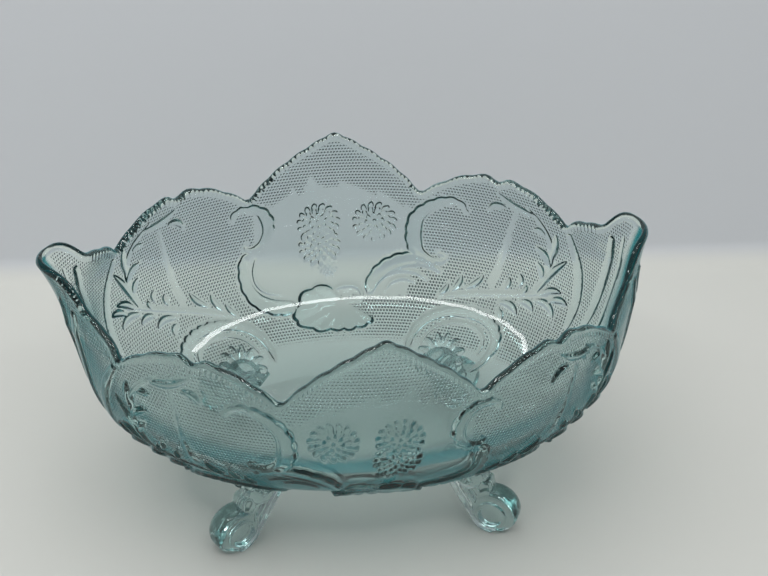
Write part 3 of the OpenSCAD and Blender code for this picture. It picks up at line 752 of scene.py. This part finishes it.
class Skin:
    """The bowl's closed skin over a flat grid: columns go round the rim, and rows go from the middle of
    the underside up the outside, over the edge and down the inside to the middle of the floor."""

    BASE, WALL, BAND, EDGE, LIP, INSIDE, FLOOR = range(7)
    # Rows of each section, and columns of an end's half, a corner lobe and a side's half
    SECTION_ROWS = (3, 38, 3, 10, 7, 15, 3)
    QUARTER = (24, 36, 27)
    LIP_H = 4.0
    # Fullness of the edge's round, and half angle of the ends' lips, which have no ridges
    EDGE_FULL = 0.9
    PLAIN_LIP_A = 17
    # The cross-ridges give way to the stipple over this height above and below their band's foot
    BAND_OVER = 0.4
    # The wall's rows are set out up to this height, in this many steps
    SET_OUT_Z, SET_OUT_STEPS = 112, 64

    def __init__(self, wall, relief, sizes):
        self.wall, self.relief, self.sizes = wall, relief, sizes
        self.rows = sum(self.SECTION_ROWS)
        s = wall.s
        turns = (0, s.end_notch_a, s.side_notch_a, 90, 180 - s.side_notch_a, 180 - s.end_notch_a)
        self.turns = np.array(turns + tuple(180 + t for t in turns) + (360,))
        self.steps = np.cumsum((0,) + (self.QUARTER + self.QUARTER[::-1]) * 2)
        self.columns = int(self.steps[-1])
        self.even = np.linspace(0, 1, self.SET_OUT_STEPS + 1)
        self.up = wall.even_heights(wall.stand_z, self.SET_OUT_Z, 0.0, self.SET_OUT_STEPS)
        self.down = wall.even_heights(wall.floor_z, self.SET_OUT_Z, 1.0, self.SET_OUT_STEPS)
        self.round_t = np.linspace(0, 360, 3601)
        self.round_run = travelled(wall.point(self.round_t, wall.lip_z(self.round_t), 0.0))

    def place(self, flat):
        """Section, share of it, angle and height for points of the flat grid."""
        row = (flat[:, 1] + 1) / 2 * self.rows
        t = np.interp((flat[:, 0] + 1) / 2 * self.columns, self.steps, self.turns)
        section = np.zeros(len(row), int)
        share = np.zeros(len(row))
        start = 0
        for i, n in enumerate(self.SECTION_ROWS):
            there = (row > start) & (row <= start + n)
            section[there] = i
            share[there] = (row[there] - start) / n
            start += n
        return section, share, t, self.height(section, share, t)

    def height(self, section, share, t):
        """Height above the table, for the sections on the wall."""
        wall = self.wall
        lip = wall.lip_z(t)
        band = lip - self.sizes.band_h
        low_lip = lip - self.LIP_H
        heights = {
            self.BASE: wall.stand_z,
            self.WALL: mix(wall.stand_z, band, np.interp(share, self.even, self.up)),
            self.BAND: mix(band, lip, share),
            self.EDGE: lip,
            self.LIP: lip - self.LIP_H * share,
            self.INSIDE: mix(wall.floor_z, low_lip, np.interp(1 - share, self.even, self.down)),
        }
        return np.select([section == i for i in heights], list(heights.values()), wall.floor_z)

    def is_outside(self, section):
        """Whether the section carries relief."""
        return (section == self.WALL) | (section == self.BAND)

    def clear_of_band(self, below):
        """An eased step from 0 on the cross-ridged band to 1 beneath it, by the depth below the edge."""
        return smooth((below - self.sizes.band_h + self.BAND_OVER) / (2 * self.BAND_OVER))

    def points(self, section, share, t, z):
        """Points of the skin."""
        wall, sizes = self.wall, self.sizes
        over = np.pi * share
        on_edge = section == self.EDGE
        inset = np.select([section < self.EDGE, on_edge], [0.0, (1 - np.cos(over)) / 2], 1.0)
        p = wall.point(t, z, inset)
        near_middle = np.select([section == self.BASE, section == self.FLOOR], [share, 1 - share], 1.0)
        p[:, 0] = wall.middle_x + (p[:, 0] - wall.middle_x) * near_middle
        p[:, 1] *= near_middle
        p[:, 2] += np.where(on_edge, wall.crest(t) * np.sin(over) ** self.EDGE_FULL, 0)

        # Relief, and below the edge a light swell with cross-ridges
        below = wall.lip_z(t) - z
        beside_lip = smooth((fold(t) - self.PLAIN_LIP_A) / 2)
        ridged = smooth((below - 0.2) / 0.7) * (1 - self.clear_of_band(below)) * beside_lip
        run = np.interp(t % 360, self.round_t, self.round_run)
        ridge = sizes.ridge_relief / 2 * np.cos(2 * np.pi * run / sizes.ridge_pitch)
        falling = np.where(on_edge, (1 + np.cos(over)) / 2, smooth(1 - below / sizes.band_h))
        swell = sizes.edge_swell * beside_lip * falling
        lift = self.relief.sample(self.relief.height, t, z) * smooth((below - 1.5) / 2)
        lift += ridged * ridge + swell
        lift = np.select([self.is_outside(section), on_edge], [lift, swell], 0.0)
        p += lift[:, None] * wall.normal(t, z)
        p[:, :2] = np.clip(p[:, :2], *np.array(CAD_BOX)[:, :2] / MM)
        return p


class GLASSBOWL_OT_bowl(bpy.types.Operator):
    """Build the bowl: one closed skin of glass with its rim and relief"""

    bl_idname = "glass_bowl.bowl"
    bl_label = "Bowl"

    RELIEF_TOP_Z = 141
    # Passes that make faces finer: the cells that steepness spreads over, and the least that counts
    FINER = ((3, 0.25), (1, 0.45))
    # For the stipple: the angle from an end at which its map is cut, and the height of its middle
    MAP_CUT_A, MAP_MIDDLE_Z = 24.0, 80.0
    # Distance in metres within which the skin's seam and middles are closed
    CLOSE = 1e-6

    def execute(self, context):
        fresh()
        wall = Wall(plain_values(context.scene.bowl_sizes))
        sizes = plain_values(context.scene.relief_sizes)
        relief = Relief(wall, self.RELIEF_TOP_Z)
        lay_ornament(relief, sizes)
        skin = Skin(wall, relief, sizes)
        bpy.ops.mesh.primitive_grid_add(x_subdivisions=skin.columns, y_subdivisions=skin.rows, size=2)
        bowl = context.active_object
        bowl.name = bowl.data.name = "bowl_body"
        mesh = bowl.data

        # Finer faces where the relief is steep and along the cross-ridged band, but not at the seam
        slope = relief.slope()
        for reach, least in self.FINER:
            steep = spread_out(slope, reach)
            centres = read(mesh.polygons, "center", 3)
            section, share, t, z = skin.place(centres)
            chosen = (section == skin.WALL) & (relief.sample(steep, t, z) > least)
            chosen |= section == skin.BAND
            chosen &= np.abs(centres[:, 0]) < 1 - 2 / skin.columns
            select_faces(mesh, chosen)
            in_edit(lambda: bpy.ops.mesh.subdivide(number_cuts=1))

        section, share, t, z = skin.place(read(mesh.vertices, "co", 3))
        points = skin.points(section, share, t, z)
        ground = np.where(skin.is_outside(section), 1 - relief.sample(relief.plain, t, z), 0)
        ground *= skin.clear_of_band(wall.lip_z(t) - z)
        mesh.attributes.new("ground", "FLOAT", "POINT").data.foreach_set("value", ground.astype(np.float32))
        self.unwrap(mesh, skin, t, z)
        mesh.vertices.foreach_set("co", (points * MM).ravel())
        mesh.update()
        bpy.context.tool_settings.mesh_select_mode = (True, False, False)
        in_edit(
            lambda: bpy.ops.mesh.select_all(action="SELECT"),
            lambda: bpy.ops.mesh.remove_doubles(threshold=self.CLOSE),
            lambda: bpy.ops.mesh.select_all(action="SELECT"),
            lambda: bpy.ops.mesh.normals_make_consistent(inside=False),
        )
        bpy.ops.object.shade_smooth()
        look = plain_values(context.scene.glass_look)
        mesh.materials.append(glass_material(
            "bowl_glass", look, look.density, wave_scale=60, speck_scale=350, stippled=True
        ))
        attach(bowl, "root")
        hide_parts(*[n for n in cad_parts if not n.startswith(("foot_", "knee_"))])
        return {"FINISHED"}

    def unwrap(self, mesh, skin, t, z):
        """Writes lengths along and up the wall, in metres, for the stipple."""
        relief = skin.relief
        loop_vertex = read(mesh.loops, "vertex_index", kind=int)
        face_t = skin.place(read(mesh.polygons, "center", 3))[2]
        face_t = np.repeat(face_t, read(mesh.polygons, "loop_total", kind=int))
        t, z = t[loop_vertex], z[loop_vertex]
        along = np.pad(np.cumsum(relief.mt * relief.dt, axis=1), ((0, 0), (1, 0)))
        up = np.cumsum(np.diff(relief.z)[:, None] * relief.mz[1:], axis=0)
        up = np.pad(up, ((1, 0), (0, 0)))

        # Each side and each end is mapped from its own middle
        on_side = np.where(face_t < 180, 90.0, 270.0)
        on_end = np.where(face_t < 90, 0.0, np.where(face_t < 270, 180.0, 360.0))
        middle = np.where(fold(face_t) > self.MAP_CUT_A, on_side, on_end)
        u = relief.sample(along, t, z) - relief.sample(along, middle, z)
        v = relief.sample(up, t, z) - relief.sample(up, t, np.full_like(z, self.MAP_MIDDLE_Z))
        wall_map = mesh.uv_layers[0]
        wall_map.name = "wall_map"
        wall_map.uv.foreach_set("vector", (np.stack([u, v], 1) * MM).astype(np.float32).ravel())


class Nodes:
    """Short way of adding shader nodes, whose sockets are set to values or linked to other sockets."""

    def __init__(self, owner):
        owner.use_nodes = True
        self.tree = owner.node_tree
        self.tree.nodes.clear()

    def add(self, kind, sockets=None, **settings):
        node = self.tree.nodes.new(kind)
        for name, value in settings.items():
            setattr(node, name, value)
        for name, value in (sockets or {}).items():
            if isinstance(value, bpy.types.NodeSocket):
                self.tree.links.new(value, node.inputs[name])
            else:
                node.inputs[name].default_value = value
        return node

    def math(self, operation, a, b=0):
        return self.add("ShaderNodeMath", {0: a, 1: b}, operation=operation).outputs[0]

    def step(self, value, low, high):
        sockets = {"Value": value, "From Min": low, "From Max": high}
        return self.add("ShaderNodeMapRange", sockets, interpolation_type="SMOOTHSTEP").outputs["Result"]

    def blend(self, share, a, b):
        sockets = {"Factor": share, "A": (*a, 1), "B": (*b, 1)}
        return self.add("ShaderNodeMix", sockets, data_type="RGBA").outputs["Result"]


# Painted shade on the stippled glass where it is seen edge-on, standing in for the long way light takes
# through it there: the range of Layer Weight's Facing over which it takes on a dark teal, the range over
# which it turns less clear so that this teal shows as a matte colour, and the most clearness that it loses
SHADE_TINT_FACING = (0.44, 0.66)
SHADE_MATTE_FACING, SHADE_MATTE_SHARE = (0.48, 0.82), 0.8
# Share of the stipple's offset dots against its rows, and the level at which its valleys are flat
DOT_SHARE, VALLEY = 1.6, 0.3
# Roughness runs from the first of these shares up by the second, in specks
WEAR = (0.6, 0.8)


def stipple(n, look):
    """Height of rows of dots, with every other row set over by half a dot."""
    wall_map = n.add("ShaderNodeUVMap", uv_map="wall_map").outputs[0]
    along, up = n.add("ShaderNodeSeparateXYZ", {0: wall_map}).outputs[:2]

    def wave(socket, pitch):
        return n.math("COSINE", n.math("MULTIPLY", socket, 2 * math.pi / (pitch * MM)))

    dots = n.math("MULTIPLY", wave(along, look.dot_pitch), wave(up, 2 * look.row_pitch))
    dots = n.math("ADD", wave(up, look.row_pitch), n.math("MULTIPLY", dots, DOT_SHARE))
    return n.math("MAXIMUM", dots, VALLEY)


def glass_material(name, look, density, wave_scale, speck_scale, stippled):
    """Clear pale glass with a tint that grows with depth, the pressing's slow waves and a little wear.
    Stippled glass has dots in its ground, and painted shade where it is seen along its surface: a dark teal
    that stands in for the long way light takes through the glass there."""
    material = bpy.data.materials.new(name)
    n = Nodes(material)
    place = n.add("ShaderNodeTexCoord").outputs["Object"]
    waves = n.add("ShaderNodeTexNoise", {"Vector": place, "Scale": wave_scale, "Detail": 1}).outputs["Fac"]
    specks = n.add("ShaderNodeTexNoise", {"Vector": place, "Scale": speck_scale}).outputs["Fac"]
    height = n.math("MULTIPLY", waves, look.wave_depth)
    rough, base, clear = look.rough_smooth, (1, 1, 1, 1), 1
    # Stippled glass gets its dots, and also painted shade where it is seen edge-on
    if stippled:
        ground = n.add("ShaderNodeAttribute", attribute_name="ground").outputs["Fac"]
        dots = n.math("MULTIPLY", n.math("MULTIPLY", stipple(n, look), ground), look.stipple_depth)
        height = n.math("ADD", dots, height)
        rough = n.math("ADD", rough, n.math("MULTIPLY", ground, look.rough_ground - look.rough_smooth))
        # Painted shade: seen edge-on, the glass turns a dark teal and partly matte
        facing = n.add("ShaderNodeLayerWeight").outputs["Facing"]
        base = n.blend(n.step(facing, *SHADE_TINT_FACING), (1, 1, 1), look.edge_tint)
        clear = n.math("SUBTRACT", 1, n.math("MULTIPLY", n.step(facing, *SHADE_MATTE_FACING), SHADE_MATTE_SHARE))
    wear = n.math("ADD", WEAR[0], n.math("MULTIPLY", specks, WEAR[1]))
    bump = n.add("ShaderNodeBump", {"Strength": 1, "Distance": MM, "Height": height})
    glass = n.add("ShaderNodeBsdfPrincipled", {
        "Base Color": base,
        "Transmission Weight": clear,
        "Roughness": n.math("MULTIPLY", rough, wear),
        "IOR": look.ior,
        "Normal": bump.outputs[0],
    })
    inside = n.add("ShaderNodeVolumeAbsorption", {"Color": (*look.tint, 1), "Density": density})
    n.add("ShaderNodeOutputMaterial", {"Surface": glass.outputs[0], "Volume": inside.outputs[0]})
    return material


class GLASSBOWL_OT_feet(bpy.types.Operator):
    """Build the four scroll feet with their ribbed knees"""

    bl_idname = "glass_bowl.feet"
    bl_label = "Feet"

    # How far the leg runs up into the bowl, the height of its corner in the scroll, and its edges' rounding
    LEG_INTO, LEG_CORNER, LEG_ROUND = 1, 4.0, 1.5
    # Ridges on each face of the leg, their pitch in radii, and their turn round the scroll in degrees
    RIDGES, RIDGE_PITCH, RIDGE_TURN, RIDGE_TURN_STEP = 3, 2.3, 60, 15
    RING_BEAD_R = 1.2
    # A knee's rib, in shares of the knee's radius: its middle, the start of its slope and its half length
    RIB_MIDDLE, RIB_START, RIB_HALF_L = 0.58, 0.2, 0.46
    RIB_HALF_W, RIB_HALF_H, RIB_DROP = 2.1, 3.2, 1.4
    HEART_RADII = (8, 8, 7)

    def execute(self, context):
        fresh()
        wall = Wall(plain_values(context.scene.bowl_sizes))
        s = plain_values(context.scene.foot_sizes)
        knee_z = wall.stand_z + s.knee_h
        knee = np.array([
            wall.middle_x + wall.half_l(knee_z, 0.0) * math.cos(math.radians(s.knee_a)),
            wall.half_w(knee_z, 0.0) * math.sin(math.radians(s.knee_a)),
        ])
        turn = math.radians(s.foot_turn)
        pad = knee + np.array([math.cos(turn), math.sin(turn)]) * s.leg_reach / 2
        parts = self.scroll(s, wall.stand_z)
        for part in parts:
            part.data.transform(Matrix.Translation(in_metres(*pad, 0)) @ Matrix.Rotation(turn, 4, "Z"))
        parts += self.palmette(s, wall, knee)
        bpy.ops.object.select_all(action="DESELECT")
        for part in parts:
            part.select_set(True)
        context.view_layer.objects.active = parts[0]
        bpy.ops.object.join()
        foot = context.active_object
        melt = foot.modifiers.new("melt", "REMESH")
        melt.mode = "VOXEL"
        melt.voxel_size = s.voxel * MM
        polish = foot.modifiers.new("polish", "SMOOTH")
        polish.factor = 0.5
        polish.iterations = 2
        for name in ("melt", "polish"):
            bpy.ops.object.modifier_apply(modifier=name)
        p = read(foot.data.vertices, "co", 3) / MM
        p[:, 2] = np.clip(p[:, 2], 0, wall.under_z(p[:, 0], p[:, 1]) + s.sink)
        foot.data.vertices.foreach_set("co", (p * MM).ravel())
        foot.data.update()
        bpy.ops.object.shade_smooth()
        look = plain_values(context.scene.glass_look)
        foot.data.materials.clear()
        foot.data.materials.append(glass_material(
            "foot_glass", look, look.foot_density, wave_scale=120, speck_scale=400, stippled=False
        ))
        middle = Matrix.Translation(in_metres(wall.middle_x, 0, 0))
        for name, x, y in (
            ("back_right", 1, 1), ("back_left", -1, 1), ("front_right", 1, -1), ("front_left", -1, -1)
        ):
            piece = foot
            if name != "back_right":
                piece = bpy.data.objects.new("foot", foot.data.copy())
                context.collection.objects.link(piece)
                piece.data.transform(middle @ Matrix.Diagonal((x, y, 1, 1)) @ middle.inverted())
                if x * y < 0:
                    piece.data.flip_normals()
            piece.name = piece.data.name = "scroll_" + name
            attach(piece, "root")
            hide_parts("foot_" + name, "knee_" + name)
        return {"FINISHED"}

    def bevelled(self, width, segments):
        """Rounds the edges of the active object."""
        part = bpy.context.active_object
        edge = part.modifiers.new("edge", "BEVEL")
        edge.width = width * MM
        edge.segments = segments
        edge.limit_method = "ANGLE"
        bpy.ops.object.modifier_apply(modifier="edge")
        return part

    def scroll(self, s, stand_z):
        """The rolled scroll and its leg, in the foot's own frame: outward along +X, scroll axis along Y."""
        centre_z = s.scroll_r - s.pad_depth
        across_y = (math.pi / 2, 0, 0)
        bpy.ops.mesh.primitive_cylinder_add(
            vertices=96, radius=s.scroll_r * MM, depth=s.scroll_t * MM,
            location=in_metres(0, 0, centre_z), rotation=across_y,
        )
        bpy.ops.object.transform_apply(location=True, rotation=True, scale=True)
        parts = [self.bevelled(s.scroll_round, 7)]

        # The leg: a wedge from the scroll to its head under the bowl
        top = stand_z + self.LEG_INTO - centre_z
        head = np.array([-s.leg_reach, top])
        touch_turn = math.atan2(head[1], head[0]) + math.acos(s.scroll_r / np.linalg.norm(head))
        touch = s.scroll_r * np.array([math.cos(touch_turn), math.sin(touch_turn)])
        corners = {
            (False, True): head,
            (True, True): (-s.leg_back, top),
            (True, False): (0.0, self.LEG_CORNER),
            (False, False): touch,
        }
        bpy.ops.mesh.primitive_cube_add(size=1)
        for vertex in bpy.context.active_object.data.vertices:
            x, z = corners[vertex.co.x > 0, vertex.co.z > 0]
            vertex.co = in_metres(x, math.copysign(s.leg_t / 2, vertex.co.y), z + centre_z)
        parts.append(self.bevelled(self.LEG_ROUND, 3))

        # Ridges down the leg's inner edge and on round the scroll, on both faces, and a ring on the outer one
        run = (head - touch) / np.linalg.norm(head - touch)
        across = np.array([run[1], -run[0]]) * math.copysign(1, run[1])
        for face in (-1, 1):
            for i in range(self.RIDGES):
                inset = s.ridge_r * (1 + self.RIDGE_PITCH * i)
                line = [head + across * inset]
                for f in np.radians(np.linspace(0, self.RIDGE_TURN - self.RIDGE_TURN_STEP * i, 9)):
                    f += touch_turn
                    line.append((s.scroll_r - inset) * np.array([math.cos(f), math.sin(f)]))
                parts.append(self.tube([(x, face * s.leg_t / 2, z + centre_z) for x, z in line], s.ridge_r))
        bpy.ops.mesh.primitive_torus_add(
            major_radius=s.ring_r * MM, minor_radius=self.RING_BEAD_R * MM,
            location=in_metres(0, s.scroll_t / 2, centre_z), rotation=across_y,
        )
        bpy.ops.object.transform_apply(location=True, rotation=True, scale=True)
        return parts + [bpy.context.active_object]

    def tube(self, points, radius):
        """A round ridge along points, as a closed mesh."""
        data = bpy.data.curves.new("ridge", "CURVE")
        data.dimensions = "3D"
        data.bevel_depth = radius * MM
        data.bevel_resolution = 4
        data.use_fill_caps = True
        spline = data.splines.new("POLY")
        spline.points.add(len(points) - 1)
        for target, p in zip(spline.points, points):
            target.co = (*in_metres(*p), 1)
        ridge = bpy.data.objects.new("ridge", data)
        bpy.context.collection.objects.link(ridge)
        bpy.ops.object.select_all(action="DESELECT")
        ridge.select_set(True)
        bpy.context.view_layer.objects.active = ridge
        bpy.ops.object.convert(target="MESH")
        return bpy.context.active_object

    def palmette(self, s, wall, knee):
        """Ribs that fan out below the bowl round the leg's head, and its heart, in place."""
        parts = []
        for i in range(s.knee_ribs):
            f = 2 * math.pi * i / s.knee_ribs
            way = np.array([math.cos(f), math.sin(f)]) * s.knee_r
            x, y = np.stack([knee + way * share for share in (self.RIB_MIDDLE, self.RIB_START, 1)], 1)
            z, near_z, far_z = wall.under_z(x, y)
            tilt = math.atan2(far_z - near_z, s.knee_r * (1 - self.RIB_START))
            radii = in_metres(s.knee_r * self.RIB_HALF_L, self.RIB_HALF_W, self.RIB_HALF_H)
            bpy.ops.mesh.primitive_uv_sphere_add(segments=24, ring_count=12, radius=1)
            rib = bpy.context.active_object
            rib.data.transform(
                Matrix.Translation(in_metres(x[0], y[0], z - self.RIB_DROP))
                @ Matrix.Rotation(f, 4, "Z")
                @ Matrix.Rotation(-tilt, 4, "Y")
                @ Matrix.Diagonal((*radii, 1))
            )
            parts.append(rib)
        bpy.ops.mesh.primitive_uv_sphere_add(segments=32, ring_count=16, radius=1)
        heart = bpy.context.active_object
        heart.data.transform(
            Matrix.Translation(in_metres(*knee, wall.stand_z + self.LEG_INTO))
            @ Matrix.Diagonal((*in_metres(*self.HEART_RADII), 1))
        )
        return parts + [heart]


class GLASSBOWL_OT_stage(bpy.types.Operator):
    """Set the stage: table, backdrop, lamps, surroundings and camera"""

    bl_idname = "glass_bowl.stage"
    bl_label = "Stage"

    # Sizes in metres. The backdrop: its bend's radius, its lean, height, half width, slant and rows
    BEND, LEAN, TALL, HALF_W, SLANT, ROWS = 0.016, math.radians(68), 0.4, 0.9, 0.057, 25
    TABLE_SIZE, TABLE_Z = 4, -0.0001
    PAPER_ROUGHNESS = 0.75
    # Lamps: their place and size, the ring's radius, height, step and first turn, and the point they face
    TOP_PLACE, TOP_SIZE = (-0.08, 0, 1.15), (1.3, 1.0)
    RING_LAMPS, RING_STEP, RING_START, RING_R, RING_Z, RING_SIZE = 8, 27, -112, 0.72, 1.05, (0.34, 0.06)
    LAMP_AIM = (0, 0, 0.05)
    # The camera's angles, and its place right of, above and back from the bowl's middle
    AZIMUTH, ELEVATION, ROLL = math.radians(-9.51), math.radians(34.36), math.radians(2.06)
    MIDDLE_X, PLACE_RIGHT, PLACE_UP, PLACE_BACK = 0.00425, 0.01278, 0.08925, 0.8932
    SHIFT_Y = 0.003

    def execute(self, context):
        fresh()
        scene = context.scene
        look = scene.stage_look
        self.table_and_backdrop(look)
        self.lamp("top_lamp", self.TOP_PLACE, self.TOP_SIZE, look.top_power)
        context.active_object.visible_glossy = False
        for i in range(self.RING_LAMPS):
            turn = math.radians(self.RING_STEP * i + self.RING_START)
            place = (self.RING_R * math.sin(turn), -self.RING_R * math.cos(turn), self.RING_Z)
            self.lamp("ring_lamp_%d" % i, place, self.RING_SIZE, look.ring_power)
        self.surroundings(scene, look)
        self.camera(scene, look)
        scene.view_settings.view_transform = "Standard"
        return {"FINISHED"}

    def table_and_backdrop(self, look):
        """A table, and a backdrop that curves up from it and is seen from its front only."""
        bpy.ops.mesh.primitive_plane_add(size=self.TABLE_SIZE, location=(0, 0, self.TABLE_Z))
        table = bpy.context.active_object
        bpy.ops.mesh.primitive_grid_add(x_subdivisions=1, y_subdivisions=self.ROWS, size=2)
        floor = bpy.context.active_object
        floor.name = floor.data.name = "table_and_backdrop"
        last = self.ROWS - 1
        for vertex in floor.data.vertices:
            row = round((vertex.co.y + 1) / 2 * self.ROWS)
            f = self.LEAN * min(row, last) / last
            above = self.TALL if row > last else 0
            x = vertex.co.x * self.HALF_W
            y = look.backdrop_y - self.SLANT * x + self.BEND * (math.sin(f) - 1)
            z = self.BEND * (1 - math.cos(f))
            vertex.co = (x, y + above * math.cos(self.LEAN), z + above * math.sin(self.LEAN))
        table.select_set(True)
        bpy.ops.object.join()
        bpy.ops.object.shade_smooth()
        material = bpy.data.materials.new("table_paper")
        n = Nodes(material)
        place = n.add("ShaderNodeTexCoord").outputs["Object"]
        rise = n.step(n.add("ShaderNodeSeparateXYZ", {0: place}).outputs["Z"], 0, self.BEND / 2)
        paper = n.add("ShaderNodeBsdfPrincipled", {
            "Base Color": n.blend(rise, look.table_colour, look.backdrop_colour),
            "Roughness": self.PAPER_ROUGHNESS,
        })
        one_sided = n.add("ShaderNodeMixShader", {
            0: n.add("ShaderNodeNewGeometry").outputs["Backfacing"],
            1: paper.outputs[0],
            2: n.add("ShaderNodeBsdfTransparent").outputs[0],
        })
        n.add("ShaderNodeOutputMaterial", {"Surface": one_sided.outputs[0]})
        floor.data.materials.append(material)

    def surroundings(self, scene, look):
        """A dim room under a pale ceiling."""
        scene.world = bpy.data.worlds.new("surroundings")
        n = Nodes(scene.world)
        way = n.add("ShaderNodeTexCoord").outputs["Generated"]
        rise = n.step(n.add("ShaderNodeSeparateXYZ", {0: way}).outputs["Z"], 0, 1)
        light = n.add("ShaderNodeBackground", {"Color": n.blend(rise, look.low_colour, look.high_colour)})
        n.add("ShaderNodeOutputWorld", {"Surface": light.outputs[0]})

    def lamp(self, name, place, size, power):
        """A rectangular softbox aimed at the bowl."""
        bpy.ops.object.light_add(type="AREA", location=place)
        lamp = bpy.context.active_object
        lamp.name = lamp.data.name = name
        lamp.rotation_euler = (Vector(self.LAMP_AIM) - Vector(place)).to_track_quat("-Z", "Y").to_euler()
        lamp.data.shape = "RECTANGLE"
        lamp.data.size, lamp.data.size_y = size
        lamp.data.energy = power

    def camera(self, scene, look):
        """The camera, at the photograph's viewing angle."""
        level = math.cos(self.ELEVATION)
        back = Vector((
            math.sin(self.AZIMUTH) * level, -math.cos(self.AZIMUTH) * level, math.sin(self.ELEVATION)
        ))
        right = (-back).cross(Vector((0, 0, 1))).normalized()
        up = right.cross(-back)
        place = Vector((self.MIDDLE_X, 0, 0))
        place += self.PLACE_RIGHT * right + self.PLACE_UP * up + self.PLACE_BACK * back
        x_axis = math.cos(self.ROLL) * right + math.sin(self.ROLL) * up
        y_axis = -math.sin(self.ROLL) * right + math.cos(self.ROLL) * up
        data = bpy.data.cameras.new("camera")
        camera = bpy.data.objects.new("camera", data)
        scene.collection.objects.link(camera)
        turned = Matrix((x_axis, y_axis, back)).transposed().to_4x4()
        camera.matrix_world = Matrix.Translation(place) @ turned
        data.sensor_width = 36
        data.lens = look.lens / MM
        data.shift_y = self.SHIFT_Y
        data.clip_start, data.clip_end = 0.05, 20
        scene.camera = camera


class GLASSBOWL_PT_panel(bpy.types.Panel):
    """The bowl's builders and their sizes."""

    bl_idname = "GLASSBOWL_PT_panel"
    bl_label = "Glass Bowl"
    bl_space_type = "VIEW_3D"
    bl_region_type = "UI"
    bl_category = "Glass Bowl"

    def draw(self, context):
        for operator in OPERATORS:
            self.layout.operator(operator.bl_idname)
        for name in GROUPS:
            box = self.layout.box()
            group = getattr(context.scene, name)
            box.label(text=name.replace("_", " ").title())
            for prop in own_properties(group):
                box.prop(group, prop.identifier)


GROUPS = {
    "bowl_sizes": BowlSizes,
    "foot_sizes": FootSizes,
    "relief_sizes": ReliefSizes,
    "glass_look": GlassLook,
    "stage_look": StageLook,
}
OPERATORS = (GLASSBOWL_OT_bowl, GLASSBOWL_OT_feet, GLASSBOWL_OT_stage)
CLASSES = (*GROUPS.values(), *OPERATORS, GLASSBOWL_PT_panel)


def register():
    """Registers the add-on's classes and settings."""
    for cls in CLASSES:
        bpy.utils.register_class(cls)
    for name, cls in GROUPS.items():
        setattr(bpy.types.Scene, name, PointerProperty(type=cls))


def unregister():
    """Removes the add-on's classes and settings."""
    for name in GROUPS:
        delattr(bpy.types.Scene, name)
    for cls in reversed(CLASSES):
        bpy.utils.unregister_class(cls)


def main():
    """Builds every piece and the stage."""
    register()
    bpy.ops.glass_bowl.bowl()
    bpy.ops.glass_bowl.feet()
    bpy.ops.glass_bowl.stage()


if __name__ == "__main__":
    main()
